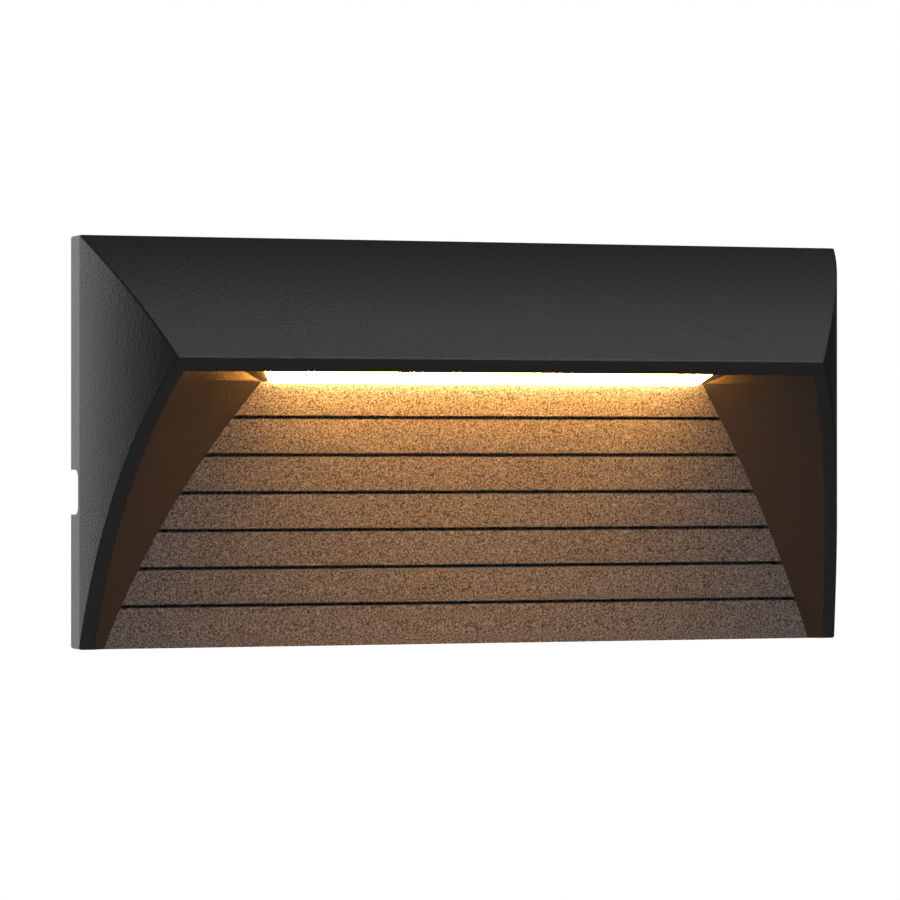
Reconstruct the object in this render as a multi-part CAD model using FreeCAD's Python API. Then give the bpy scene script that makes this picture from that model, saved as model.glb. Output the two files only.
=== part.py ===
"""Hooded step light for an outdoor wall: a die-cast housing with a grooved panel under its hood.

Millimetres.  X runs along the wall, Y goes into the wall (the wall face is Y = 0), Z is up.
The origin is the middle of the mounting plate's back.  Inside this file a place is written as
(x, depth, height): depth is the distance out from the wall and height is the distance above the
light's lower edge, which is how such a light is measured on a bench.
"""
import FreeCAD, Part
import math
import os

# ---- outside of the light -------------------------------------------------------------------
WIDTH = 220.0             # along the wall
HEIGHT = 110.0
RIM_DEPTH = 8.3           # straight rim against the wall
LIP_DEPTH = 40.0          # how far the hood's lip stands out
LIP_DROP = 33.0           # lip's edge below the light's top
LIP_HEIGHT = HEIGHT - LIP_DROP
CHEEK_INSET = 18.0        # how far the cheeks draw in at the lip
HOOD_BULGE = 3.0          # middle of the hood's arc, off its chord
CHEEK_BULGE = 2.0
MOUTH_BULGE = 2.9         # the mouth's arc draws back towards the wall
CORNER_RADIUS = 0.7
EDGE_RADIUS = 0.5         # broken edges of the hood and the cheeks

# ---- casting walls --------------------------------------------------------------------------
WALL = 3.0
CHEEK_BAND = 3.9          # cheek's front edge, measured along the wall
LIP_BAND = 3.5            # lip's front face, measured in height
RECESS_WALL = 2.6         # ceiling of the recess
RECESS_BACK_WALL = 2.2    # wall behind the grooved panel
SIDE_WALL_SET_BACK = 2.9  # recess side wall, measured along the depth

# ---- recess and its grooved panel -----------------------------------------------------------
PANEL_FOOT_DEPTH = 6.4
PANEL_TOP_DEPTH = 21.8
PANEL_TOP_BELOW_LIP = 5.7
PANEL_TOP_HEIGHT = LIP_HEIGHT - PANEL_TOP_BELOW_LIP
PANEL_BULGE = 2.8         # the panel's arc draws back towards the wall
PANEL_FOOT_INSET = 7.1
PANEL_TOP_INSET = 46.2
PANEL_SIDE_BULGE = 2.95
PANEL_THICKNESS = 2.3
PANEL_GAP = 0.1           # panel to housing, all round
GROOVE_COUNT = 6
GROOVE_FIRST = 11.25      # lowest groove above the light's lower edge
GROOVE_LAST = 9.55        # highest groove below the panel's top edge
GROOVE_PITCH = (PANEL_TOP_HEIGHT - GROOVE_LAST - GROOVE_FIRST) / (GROOVE_COUNT - 1)
GROOVE_WIDTH = 1.0
GROOVE_DEPTH = 1.7
CEILING_TILT = 35.0       # the ceiling rises outwards, degrees
LIP_FACE_SLOPE = 0.42     # the lip's inner face leans out this much per mm of drop

# ---- cable notches in the rim ---------------------------------------------------------------
NOTCH_WIDTH = 11.9
NOTCH_DEPTH = 7.1
NOTCH_HEIGHT = 41.75      # middle of the notch above the lower edge
NOTCH_RADIUS = 2.5
NOTCH_REACH = 12.0        # how far in from the side the way for the cable is kept clear

# ---- light strip, measured square to the tilted ceiling and along it ---------------------------
WINDOW_START = 0.6        # from the panel's top edge
WINDOW_WIDTH = 9.0
WINDOW_MARGIN = 1.9       # window's end to the panel's upper corner
WINDOW_HALF_LENGTH = WIDTH / 2 - PANEL_TOP_INSET - WINDOW_MARGIN
WINDOW_SPLAY = 4.6        # extra half length at the window's outer side
WINDOW_RADIUS = 1.2
WINDOW_CLEARANCE = 0.1
CEILING_EDGE = 2.0        # ceiling left outside the window
CEILING_RUN = WINDOW_START + WINDOW_WIDTH + CEILING_EDGE
LENS_PROUD = 1.3          # the diffuser's face stands this far below the ceiling
LENS_ROUNDING = 0.4
LENS_SKIN = 1.6
LENS_RIM = 1.5
FLANGE_OVERHANG = 1.9
FLANGE_THICKNESS = 1.4
GASKET_THICKNESS = 0.5
GASKET_MARGIN = 0.2
BOARD_HEIGHT = 6.0        # the board's lit face above the ceiling's underside
BOARD_THICKNESS = 1.6
BOARD_END = 0.9           # board's end inside the window's end
BOARD_HALF_LENGTH = WINDOW_HALF_LENGTH - BOARD_END
BOARD_EDGE = 0.3
BOARD_WIDTH = WINDOW_WIDTH - 2 * BOARD_EDGE
LED_END = 2.0             # least room from the outermost lamp's middle to the board's end
LED_PITCH = 6.9
LED_PAIRS = math.floor((BOARD_HALF_LENGTH - LED_END) / LED_PITCH + 0.5)
LED_COUNT = 2 * LED_PAIRS
LED_LENGTH = 3.5
LED_WIDTH = 2.8
LED_THICKNESS = 0.7
PAD_THICKNESS = 0.3
PAD_MARGIN = 0.4
CARRIER_THICKNESS = 2.0
CARRIER_LIP = 1.4
CARRIER_OVERHANG = 15.1   # carrier's end outside the window's end
CARRIER_HALF_LENGTH = WINDOW_HALF_LENGTH + CARRIER_OVERHANG
CARRIER_SCREW_INSET = 3.5
CARRIER_SCREW_X = CARRIER_HALF_LENGTH - CARRIER_SCREW_INSET
BOARD_SCREW_PITCHES = LED_PAIRS - 2   # lamp pitches from the middle board screw to the outer ones
SOLDER_SLOT_INSET = 5.0   # slot in the carrier over the board's solder pads
SOLDER_SLOT_X = SOLDER_SLOT_INSET - BOARD_HALF_LENGTH
SOLDER_SLOT_LENGTH = 8.0
SOLDER_SLOT_WIDTH = 5.0
SOLDER_GAP = 0.4

# ---- chamber round the light strip ----------------------------------------------------------
CHAMBER_END = 7.0         # clear room past the carrier's end
CHAMBER_HALF_LENGTH = CARRIER_HALF_LENGTH + CHAMBER_END
CHAMBER_FLOOR_LIFT = 0.3  # floor above the panel's top edge
CHAMBER_FLOOR = PANEL_TOP_HEIGHT + CHAMBER_FLOOR_LIFT
CHAMBER_ROOF_DROP = 10.5  # roof below the light's top
CHAMBER_ROOF = HEIGHT - CHAMBER_ROOF_DROP
CHAMBER_WALL = 2.2
CHAMBER_REACH = 6.5       # how far the chamber runs back from the panel's top edge
CHAMBER_BACK_DEPTH = PANEL_TOP_DEPTH - CHAMBER_REACH
CHAMBER_GASKET = 0.8
CHAMBER_COVER = 1.5
CHAMBER_COVER_RADIUS = 3.0
CHAMBER_SCREW_INSET = 3.0
CHAMBER_SCREW_X = CHAMBER_HALF_LENGTH - CHAMBER_SCREW_INSET
CHAMBER_SCREW_EDGE = 3.4
CHAMBER_SCREW_HEIGHTS = (CHAMBER_FLOOR + CHAMBER_SCREW_EDGE, CHAMBER_ROOF - CHAMBER_SCREW_EDGE)
GASKET_WINDOW_INSET = 6.6
GASKET_WINDOW_HALF = CHAMBER_HALF_LENGTH - GASKET_WINDOW_INSET
LEAD_HOLE_DROP = 8.5      # grommet's middle below the chamber's roof
LEAD_HOLE_HEIGHT = CHAMBER_ROOF - LEAD_HOLE_DROP
LEAD_HOLE_RADIUS = 3.0
GROMMET_LIP = 1.0
LEAD_SPREAD = 1.25        # each lead of a pair stands this far off the pair's middle
LEAD_DROP_SPREAD = 2.1    # the same, in height, where the pair enters the driver
LEAD_BEND = 3.0           # most that a bend takes off the straight run on each side

# ---- driver ---------------------------------------------------------------------------------
LEAD_ROOM = 10.0          # from the driver's end to the lead grommet's middle
DRIVER_HALF_LENGTH = -SOLDER_SLOT_X - LEAD_ROOM
DRIVER_HEIGHT = 26.0
DRIVER_DROP = 10.3        # its lower edge below the panel's top edge
DRIVER_FLOOR = PANEL_TOP_HEIGHT - DRIVER_DROP
DRIVER_ROOF = DRIVER_FLOOR + DRIVER_HEIGHT
DRIVER_CLEARANCE = 0.4    # to the mounting plate and to the chamber's cover
DRIVER_FRONT_DEPTH = CHAMBER_BACK_DEPTH - CHAMBER_GASKET - CHAMBER_COVER - DRIVER_CLEARANCE
DRIVER_WALL = 1.3
DRIVER_LID = 1.2
DRIVER_EAR = 9.0
DRIVER_EAR_THICKNESS = 2.0
DRIVER_EAR_FRONT = 9.0    # depth of the ears' front face, which sits on the posts
DRIVER_BOARD_THICKNESS = 1.2
DRIVER_BOARD_STANDOFF = 1.0
DRIVER_BOARD_MARGIN = 0.5
STANDOFF_RADIUS = 1.5
STANDOFF_MARGIN = 3.5
TRANSFORMER_X = 6.0
TRANSFORMER_LENGTH = 16.0
TRANSFORMER_THICKNESS = 5.4
TRANSFORMER_HEIGHT = 14.0
CAPACITOR_INSET = 21.0    # from the driver's end
CAPACITOR_X = CAPACITOR_INSET - DRIVER_HALF_LENGTH
CAPACITOR_RADIUS = 2.7
CAPACITOR_LENGTH = 13.0
INDUCTOR_INSET = 17.0
INDUCTOR_X = DRIVER_HALF_LENGTH - INDUCTOR_INSET
INDUCTOR_RADIUS = 4.0
INDUCTOR_BORE = 1.6
INDUCTOR_THICKNESS = 5.0
PART_GAP = 0.1            # component to board

# ---- terminal block and earth ---------------------------------------------------------------
TERMINAL_INSET = 11.5
TERMINAL_LEFT = TERMINAL_INSET - WIDTH / 2
TERMINAL_POLE = 9.0
TERMINAL_POLES = 3
TERMINAL_DROP = 14.3      # its lower edge below the panel's top edge
TERMINAL_FLOOR = PANEL_TOP_HEIGHT - TERMINAL_DROP
TERMINAL_HEIGHT = 15.0
TERMINAL_BACK_DEPTH = 2.4
TERMINAL_FRONT_DEPTH = 11.0
CLAMP_OUTER = 2.8
CLAMP_BORE = 1.9
CLAMP_SET_BACK = 0.6      # brass clamp ends inside the moulding
CLAMP_SCREW_OFFSET = 4.0
CLAMP_SCREW_LENGTH = 4.2
EARTH_INSET = 14.0
EARTH_X = EARTH_INSET - WIDTH / 2
EARTH_DROP = 22.0         # below the light's top
EARTH_HEIGHT = HEIGHT - EARTH_DROP
EARTH_BOSS_DEPTH = 9.0
EARTH_BOSS_RADIUS = 3.8
EARTH_TAG_THICKNESS = 0.8
EARTH_TAG_RADIUS = 3.8
EARTH_BARREL_RADIUS = 1.9
EARTH_BARREL_LENGTH = 5.0

# ---- wall side ------------------------------------------------------------------------------
PLATE_THICKNESS = 1.5
PLATE_CLEARANCE = 0.6
PLATE_FOOT = 14.0
PLATE_RADIUS = 2.0
SLOT_SPACING = 60.3       # fixing centres of a common wall box
SLOT_LENGTH = 10.0
SLOT_RADIUS = 2.25
SLOT_HEIGHT = 55.0
WALL_HOLE_INSET = 25.0
WALL_HOLE_SPACING = WIDTH - 2 * WALL_HOLE_INSET
WALL_HOLE_RADIUS = 2.25
WALL_HOLE_HEIGHT = 30.0
CABLE_HOLE_HEIGHT = 36.0
CABLE_HOLE_RADIUS = 8.0
CABLE_BORE_RADIUS = 4.0
CABLE_FLANGE = 2.0
CABLE_FLANGE_THICKNESS = 1.2
HOOK_X = 50.0
HOOK_WIDTH = 16.0
HOOK_RIB_DEPTH = 3.2
HOOK_RIB = 1.6
HOOK_RIB_DROP = 1.8
TAB_CLEARANCE = 0.3
PLATE_TOP = HEIGHT - WALL - HOOK_RIB_DROP - TAB_CLEARANCE
FOOT_SCREW_INSET = 6.0
FOOT_SCREW_X = WIDTH / 2 - FOOT_SCREW_INSET
FOOT_SCREW_DEPTH = 3.4
FOOT_WALL = 4.0
FOOT_TAB_WIDTH = 4.8
FOOT_LEG_WIDTH = 7.4
FOOT_POCKET_INSET = 9.0
FOOT_POCKET_INNER = WIDTH / 2 - FOOT_POCKET_INSET
FOOT_POCKET_DEPTH = 5.8
FOOT_COUNTERBORE = 2.2
SEAL_WIDTH = 1.4
SEAL_DEPTH = 1.2
SEAL_RISE = 10.25         # the seal stops above the cable notches, so that water drains below
SEAL_FOOT = NOTCH_HEIGHT + SEAL_RISE

# ---- screws, seats and leads ----------------------------------------------------------------
THREAD_GAP = 0.05         # shank to its hole
SEAT_GAP = 0.05           # flat face to flat face
FREE_GAP = 0.2            # shank to a hole that it passes through
M2 = 1.0                  # shank radii
M25 = 1.25
M3 = 1.5
M4 = 2.0
HEAD_RATIO = 1.85         # head radius to shank radius
HEAD_THICKNESS = 1.2      # head thickness to shank radius
BOARD_HEAD_RATIO = 1.6    # the same for the small heads on the light strip's board
CROSS_WIDTH = 0.16        # cross recess: half width, reach and depth to the head's radius and thickness
CROSS_REACH = 0.55
CROSS_DEPTH = 0.6
SOCKET_ACROSS = 2.0       # hexagon socket of the screws driven from below, across its flats
SOCKET_DEPTH = 1.1
GRUB_SLOT_WIDTH = 0.5
GRUB_SLOT_DEPTH = 0.6
POST_RADIUS = 3.1
PANEL_POST_RADIUS = 2.5
PANEL_PAD_RADIUS = 4.5
PANEL_PAD_HEIGHT = 1.2
PANEL_POST_INSET = 50.0
PANEL_POST_X = WIDTH / 2 - PANEL_POST_INSET
PANEL_POST_SHARE = 0.337  # lower posts at this share of the panel's height, where its back has room
PANEL_POST_LOW = PANEL_POST_SHARE * PANEL_TOP_HEIGHT
PANEL_POST_DROP = 19.3    # upper posts below the panel's top edge
PANEL_POST_HEIGHTS = (PANEL_POST_LOW, PANEL_TOP_HEIGHT - PANEL_POST_DROP)
PANEL_SCREW_HEAD = 1.5
LED_LEAD_RADIUS = 0.8
MAINS_LEAD_RADIUS = 1.1
OUTSIDE = 5.0             # how far a cutting shape runs past what it cuts


# ---- places, outlines and plain solids --------------------------------------------------------
def at(x, depth, height):
    """A place given as (x, depth, height), in the part's own frame."""
    return FreeCAD.Vector(x, -depth, height - HEIGHT / 2)


def box(x0, x1, depth0, depth1, height0, height1):
    """A block between two corners."""
    size = (abs(x1 - x0), abs(depth1 - depth0), abs(height1 - height0))
    return Part.makeBox(*size, at(min(x0, x1), max(depth0, depth1), min(height0, height1)))


def rod(x, height, radius, depth0, depth1):
    """A round bar that runs along the depth."""
    low, high = sorted((depth0, depth1))
    return Part.makeCylinder(radius, high - low, at(x, high, height), FreeCAD.Vector(0, 1, 0))


def post(x, depth, radius, height0, height1):
    """A round bar that stands upright."""
    return Part.makeCylinder(radius, height1 - height0, at(x, depth, height0))


def join(shapes):
    """One solid from pieces that meet."""
    return shapes[0].multiFuse(shapes[1:]).removeSplitter()


def loop(points):
    """A closed outline of straight edges."""
    return [Part.makeLine(a, b) for a, b in zip(points, points[1:] + points[:1])]


def corner(before, point, after, trim):
    """The arc that rounds a corner, as its start, middle and end; `trim` is cut off each edge."""
    back = (before - point).normalize()
    on = (after - point).normalize()
    half = back.getAngle(on) / 2
    inwards = (back + on).normalize()
    middle = point + inwards * (trim / math.cos(half) - trim * math.tan(half))
    return point + back * trim, middle, point + on * trim


def rounded(points, radius):
    """A closed outline with its corners rounded."""
    arcs = []
    for before, point, after in zip(points[-1:] + points[:-1], points, points[1:] + points[:1]):
        half = (before - point).getAngle(after - point) / 2
        arcs.append(corner(before, point, after, radius / math.tan(half)))
    edges = []
    for (start, middle, end), (following, _, _) in zip(arcs, arcs[1:] + arcs[:1]):
        edges.append(Part.Arc(start, middle, end).toShape())
        edges.append(Part.makeLine(end, following))
    return edges


def prism(edges, way):
    """The solid that a closed outline sweeps."""
    return Part.Face(Part.Wire(edges)).extrude(way)


def along_wall(edges, half_width=WIDTH / 2):
    """The solid that an outline at x = 0 sweeps both ways along the wall."""
    solid = prism(edges, FreeCAD.Vector(2 * half_width, 0, 0))
    return solid.translated(FreeCAD.Vector(-half_width, 0, 0))


# ---- the arcs that shape the light --------------------------------------------------------------
class Bow:
    """An arc from a to b whose middle stands `bulge` off the chord, to the right of the way.

    Its points are (across, along) pairs; `grown` widens the arc's radius.
    """

    def __init__(self, a, b, bulge):
        half = math.dist(a, b) / 2
        self.radius = (half ** 2 + bulge ** 2) / (2 * abs(bulge))
        to_centre = math.copysign(self.radius, bulge) - bulge
        right = ((b[1] - a[1]) / (2 * half), (a[0] - b[0]) / (2 * half))
        self.across_centre = (a[0] + b[0]) / 2 - right[0] * to_centre
        self.along_centre = (a[1] + b[1]) / 2 - right[1] * to_centre
        self.across_side = math.copysign(1, (a[0] + b[0]) / 2 - self.across_centre)
        self.along_side = math.copysign(1, (a[1] + b[1]) / 2 - self.along_centre)

    def across(self, along, grown=0.0):
        reach = math.sqrt((self.radius + grown) ** 2 - (along - self.along_centre) ** 2)
        return self.across_centre + self.across_side * reach

    def along(self, across, grown=0.0):
        reach = math.sqrt((self.radius + grown) ** 2 - (across - self.across_centre) ** 2)
        return self.along_centre + self.along_side * reach


HOOD = Bow((LIP_DEPTH, LIP_HEIGHT), (RIM_DEPTH, HEIGHT), HOOD_BULGE)
MOUTH = Bow((RIM_DEPTH, 0.0), (LIP_DEPTH, LIP_HEIGHT), -MOUTH_BULGE)
CHEEK = Bow((WIDTH / 2, RIM_DEPTH), (WIDTH / 2 - CHEEK_INSET, LIP_DEPTH), CHEEK_BULGE)
PANEL = Bow((PANEL_FOOT_DEPTH, 0.0), (PANEL_TOP_DEPTH, PANEL_TOP_HEIGHT), -PANEL_BULGE)
PANEL_SIDE = Bow((PANEL_FOOT_INSET, 0.0), (PANEL_TOP_INSET, PANEL_TOP_HEIGHT), -PANEL_SIDE_BULGE)


def upright_arc(bow, low, high, grown=0.0):
    """The edge of a side-view arc between two heights."""
    ends = (low, (low + high) / 2, high)
    return Part.Arc(*[at(0, bow.across(height, grown), height) for height in ends]).toShape()


def cheek_arc(side, height, grown, depth0, depth1):
    """The edge of a cheek's plan arc between two depths."""
    ends = (depth0, (depth0 + depth1) / 2, depth1)
    points = [at(side * CHEEK.across(depth, grown), depth, height) for depth in ends]
    return Part.Arc(*points).toShape()


# ---- housing ------------------------------------------------------------------------------------
def side_slab():
    """Side view of the light, swept along the wall."""
    edges = [
        Part.makeLine(at(0, 0, 0), at(0, RIM_DEPTH, 0)),
        upright_arc(MOUTH, 0, LIP_HEIGHT),
        upright_arc(HOOD, LIP_HEIGHT, HEIGHT),
        Part.makeLine(at(0, RIM_DEPTH, HEIGHT), at(0, 0, HEIGHT)),
        Part.makeLine(at(0, 0, HEIGHT), at(0, 0, 0)),
    ]
    return along_wall(edges)


def plan_slab(half_width, back, straight, grown, low, high):
    """Top view of the light, swept upwards: straight sides, then the cheeks' arcs."""
    front = CHEEK.across(LIP_DEPTH, grown)
    edges = [
        Part.makeLine(at(-half_width, back, low), at(half_width, back, low)),
        Part.makeLine(at(half_width, back, low), at(half_width, straight, low)),
        cheek_arc(1, low, grown, straight, LIP_DEPTH),
        Part.makeLine(at(front, LIP_DEPTH, low), at(-front, LIP_DEPTH, low)),
        cheek_arc(-1, low, grown, LIP_DEPTH, straight),
        Part.makeLine(at(-half_width, straight, low), at(-half_width, back, low)),
    ]
    return prism(edges, FreeCAD.Vector(0, 0, high - low))


def outer_body():
    """The light as a solid lump: side view, top view and front view intersected."""
    half = WIDTH / 2
    front = [at(-half, 0, 0), at(half, 0, 0), at(half, 0, HEIGHT), at(-half, 0, HEIGHT)]
    outline = prism(rounded(front, CORNER_RADIUS), FreeCAD.Vector(0, -LIP_DEPTH - OUTSIDE, 0))
    plan = plan_slab(half, 0, RIM_DEPTH, 0, 0, HEIGHT)
    return side_slab().common(plan).common(outline)


def inner_room():
    """The room inside the casting, before the recess takes its share."""
    hood_start = HOOD.across(HEIGHT - WALL, -WALL)
    hood_end = HOOD.across(LIP_HEIGHT, -WALL)
    under_hood = along_wall([
        Part.makeLine(at(0, -OUTSIDE, WALL), at(0, hood_end, WALL)),
        Part.makeLine(at(0, hood_end, WALL), at(0, hood_end, LIP_HEIGHT)),
        upright_arc(HOOD, LIP_HEIGHT, HEIGHT - WALL, -WALL),
        Part.makeLine(at(0, hood_start, HEIGHT - WALL), at(0, -OUTSIDE, HEIGHT - WALL)),
        Part.makeLine(at(0, -OUTSIDE, HEIGHT - WALL), at(0, -OUTSIDE, WALL)),
    ])
    top = LIP_HEIGHT + OUTSIDE
    behind_mouth = along_wall([
        Part.makeLine(at(0, -OUTSIDE, 0), at(0, MOUTH.across(0, WALL), 0)),
        upright_arc(MOUTH, 0, top, WALL),
        Part.makeLine(at(0, MOUTH.across(top, WALL), top), at(0, LIP_DEPTH, HEIGHT)),
        Part.makeLine(at(0, LIP_DEPTH, HEIGHT), at(0, -OUTSIDE, HEIGHT)),
        Part.makeLine(at(0, -OUTSIDE, HEIGHT), at(0, -OUTSIDE, 0)),
    ])
    half = WIDTH / 2 - WALL
    plan = plan_slab(half, -OUTSIDE, CHEEK.along(half, -WALL), -WALL, 0, HEIGHT)
    return under_hood.common(behind_mouth).common(plan)


def side_wall(height):
    """The recess's side wall at one height: (x, depth) at the panel and at the mouth."""
    foot = min(height, PANEL_TOP_HEIGHT)
    at_panel = (WIDTH / 2 - PANEL_SIDE.across(foot), PANEL.across(foot))
    mouth = MOUTH.across(height)
    return at_panel, (CHEEK.across(mouth) - CHEEK_BAND, mouth)


def flare(set_back=0.0, slack=0.0):
    """The space between the recess's side walls, from behind the panel to in front of the mouth."""

    def section(height):
        (x0, depth0), (x1, depth1) = side_wall(height)
        slope = (x1 - x0) / (depth1 - depth0)
        back = depth0 - PANEL_THICKNESS - RECESS_BACK_WALL - OUTSIDE
        front = depth1 + OUTSIDE
        half_back = x0 + slope * (back - depth0) - slack
        half_front = x1 + slope * (front - depth1) - slack
        back, front = back - set_back, front - set_back
        points = [at(-half_back, back, height), at(half_back, back, height)]
        points += [at(half_front, front, height), at(-half_front, front, height)]
        return Part.Wire(loop(points))

    steps = 7
    lower = [-OUTSIDE + (PANEL_TOP_HEIGHT + OUTSIDE) * i / steps for i in range(steps + 1)]
    upper = [PANEL_TOP_HEIGHT, PANEL_TOP_HEIGHT + OUTSIDE, PANEL_TOP_HEIGHT + 2 * OUTSIDE]
    return [Part.makeLoft([section(h) for h in heights], True) for heights in (lower, upper)]


def ceiling(run, rise):
    """A side-view place on the tilted ceiling: run along it, rise square to it."""
    tilt = math.radians(CEILING_TILT)
    depth = PANEL_TOP_DEPTH + run * math.cos(tilt) - rise * math.sin(tilt)
    return at(0, depth, PANEL_TOP_HEIGHT + run * math.sin(tilt) + rise * math.cos(tilt))


def side_view(point):
    """Depth and height of a place."""
    return -point.y, point.z + HEIGHT / 2


def recess_profile():
    """Side view of the recess with the pocket that the grooved panel lies in."""
    behind = PANEL_THICKNESS + PANEL_GAP
    far = LIP_DEPTH + OUTSIDE
    ceiling_end = ceiling(CEILING_RUN, 0)
    ceiling_height = side_view(ceiling_end)[1]
    lip_height = LIP_HEIGHT - LIP_BAND
    lip_depth = MOUTH.across(lip_height)
    lip_top = at(0, lip_depth - LIP_FACE_SLOPE * (ceiling_height - lip_height), ceiling_height)
    lip_foot = at(0, lip_depth + LIP_FACE_SLOPE * OUTSIDE, lip_height - OUTSIDE)
    pocket_top = at(0, PANEL.across(PANEL_TOP_HEIGHT, behind), PANEL_TOP_HEIGHT)
    corners = [
        pocket_top, ceiling(0, 0), ceiling_end, lip_top, lip_foot,
        at(0, far, lip_height - OUTSIDE), at(0, far, -OUTSIDE),
        at(0, PANEL.across(-OUTSIDE, behind), -OUTSIDE),
    ]
    edges = [Part.makeLine(a, b) for a, b in zip(corners, corners[1:])]
    edges.append(upright_arc(PANEL, -OUTSIDE, PANEL_TOP_HEIGHT, behind))
    return along_wall(edges)


def recess_shell_profile():
    """Side view of the recess with its walls added."""
    behind = PANEL_THICKNESS + PANEL_GAP + RECESS_BACK_WALL
    far = LIP_DEPTH + OUTSIDE
    roof_end = ceiling(CEILING_RUN, RECESS_WALL)
    corners = [
        at(0, PANEL.across(PANEL_TOP_HEIGHT, behind), PANEL_TOP_HEIGHT),
        ceiling(-RECESS_WALL, RECESS_WALL), roof_end,
        at(0, far, side_view(roof_end)[1]), at(0, far, -OUTSIDE),
        at(0, PANEL.across(-OUTSIDE, behind), -OUTSIDE),
    ]
    edges = [Part.makeLine(a, b) for a, b in zip(corners, corners[1:])]
    edges.append(upright_arc(PANEL, -OUTSIDE, PANEL_TOP_HEIGHT, behind))
    return along_wall(edges)


def recess():
    """What the mouth, the recess and the panel's pocket take out of the casting."""
    profile = recess_profile()
    return join([part.common(profile) for part in flare()])


def recess_shell():
    """The recess grown by its walls: the casting's inner room stays clear of it."""
    profile = recess_shell_profile()
    return join([part.common(profile) for part in flare(SIDE_WALL_SET_BACK)])


def break_edges(body):
    """Round the lip's edge and the mitres where the hood meets the cheeks."""
    chosen = []
    for edge in body.Edges:
        points = [edge.valueAt(edge.FirstParameter), edge.valueAt(edge.LastParameter)]
        lip = [p for p in points if math.isclose(-p.y, LIP_DEPTH, abs_tol=0.01)]
        if lip and min(p.z for p in points) > at(0, 0, LIP_HEIGHT).z - 0.01:
            chosen.append(edge)
    return body.makeFillet(EDGE_RADIUS, chosen)


def notch(side):
    """Cable notch through the rim's side, open towards the wall, with rounded inner corners."""
    low, high = NOTCH_HEIGHT - NOTCH_WIDTH / 2, NOTCH_HEIGHT + NOTCH_WIDTH / 2
    x = side * (WIDTH / 2 + OUTSIDE)
    points = [at(x, -2 * OUTSIDE, low), at(x, NOTCH_DEPTH, low)]
    points += [at(x, NOTCH_DEPTH, high), at(x, -2 * OUTSIDE, high)]
    way = FreeCAD.Vector(-side * (NOTCH_REACH + OUTSIDE), 0, 0)
    return prism(rounded(points, NOTCH_RADIUS), way)


def foot_pocket(side):
    """Room behind the rim's lower corner for the mounting plate's folded tab."""
    inner, outer = side * FOOT_POCKET_INNER, side * (WIDTH / 2 - WALL)
    return box(inner, outer, -OUTSIDE, FOOT_POCKET_DEPTH, FOOT_WALL, PLATE_FOOT + TAB_CLEARANCE)


def foot_screw_hole(side):
    """Hole and counterbore for a screw from below."""
    x = side * FOOT_SCREW_X
    hole = post(x, FOOT_SCREW_DEPTH, M3 + FREE_GAP, -OUTSIDE, FOOT_WALL + OUTSIDE)
    head = post(x, FOOT_SCREW_DEPTH, M3 * HEAD_RATIO + FREE_GAP, -OUTSIDE, FOOT_COUNTERBORE)
    return hole.fuse(head)


def hook_rib(side):
    """Rib inside the rim's top that the mounting plate's hook holds."""
    x = side * HOOK_X
    half = HOOK_WIDTH / 2 + TAB_CLEARANCE
    foot = HEIGHT - WALL - HOOK_RIB_DROP
    return box(x - half, x + half, HOOK_RIB_DEPTH, HOOK_RIB_DEPTH + HOOK_RIB, foot, HEIGHT)


def seal_run(clearance):
    """The seal's run round the back of the rim, as an upside-down U."""
    inset = (WALL - SEAL_WIDTH) / 2
    outer = WIDTH / 2 - inset + clearance
    inner = outer - SEAL_WIDTH - 2 * clearance
    depth = SEAL_DEPTH + clearance
    top = HEIGHT - inset + clearance
    under = top - SEAL_WIDTH - 2 * clearance
    whole = box(-outer, outer, 0, depth, SEAL_FOOT, top)
    return whole.cut(box(-inner, inner, 0, depth, SEAL_FOOT, under))


def chamber_frame():
    """Rib frame round the light strip; the cover closes its back."""
    outer = CHAMBER_HALF_LENGTH + CHAMBER_WALL
    deep = (CHAMBER_BACK_DEPTH, LIP_DEPTH)
    frame = box(-outer, outer, *deep, CHAMBER_FLOOR - CHAMBER_WALL, HEIGHT)
    inside = box(-CHAMBER_HALF_LENGTH, CHAMBER_HALF_LENGTH, *deep, CHAMBER_FLOOR, CHAMBER_ROOF)
    return frame.cut(inside)


def chamber_screw_places():
    return [(side * CHAMBER_SCREW_X, h) for side in (1, -1) for h in CHAMBER_SCREW_HEIGHTS]


def driver_screw_places():
    x = DRIVER_HALF_LENGTH + DRIVER_EAR / 2
    return [(side * x, DRIVER_FLOOR + DRIVER_EAR / 2) for side in (1, -1)]


def terminal_screw_places():
    middle = TERMINAL_FLOOR + TERMINAL_HEIGHT / 2
    return [(TERMINAL_LEFT + TERMINAL_POLE * i, middle) for i in range(1, TERMINAL_POLES)]


def panel_post_places():
    return [(side * PANEL_POST_X, h) for side in (1, -1) for h in PANEL_POST_HEIGHTS]


def pad_depth(height):
    """Depth of the face that a panel screw's head sits on."""
    wall_back = PANEL.across(height, PANEL_THICKNESS + PANEL_GAP + RECESS_BACK_WALL)
    return wall_back - PANEL_PAD_HEIGHT


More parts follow.
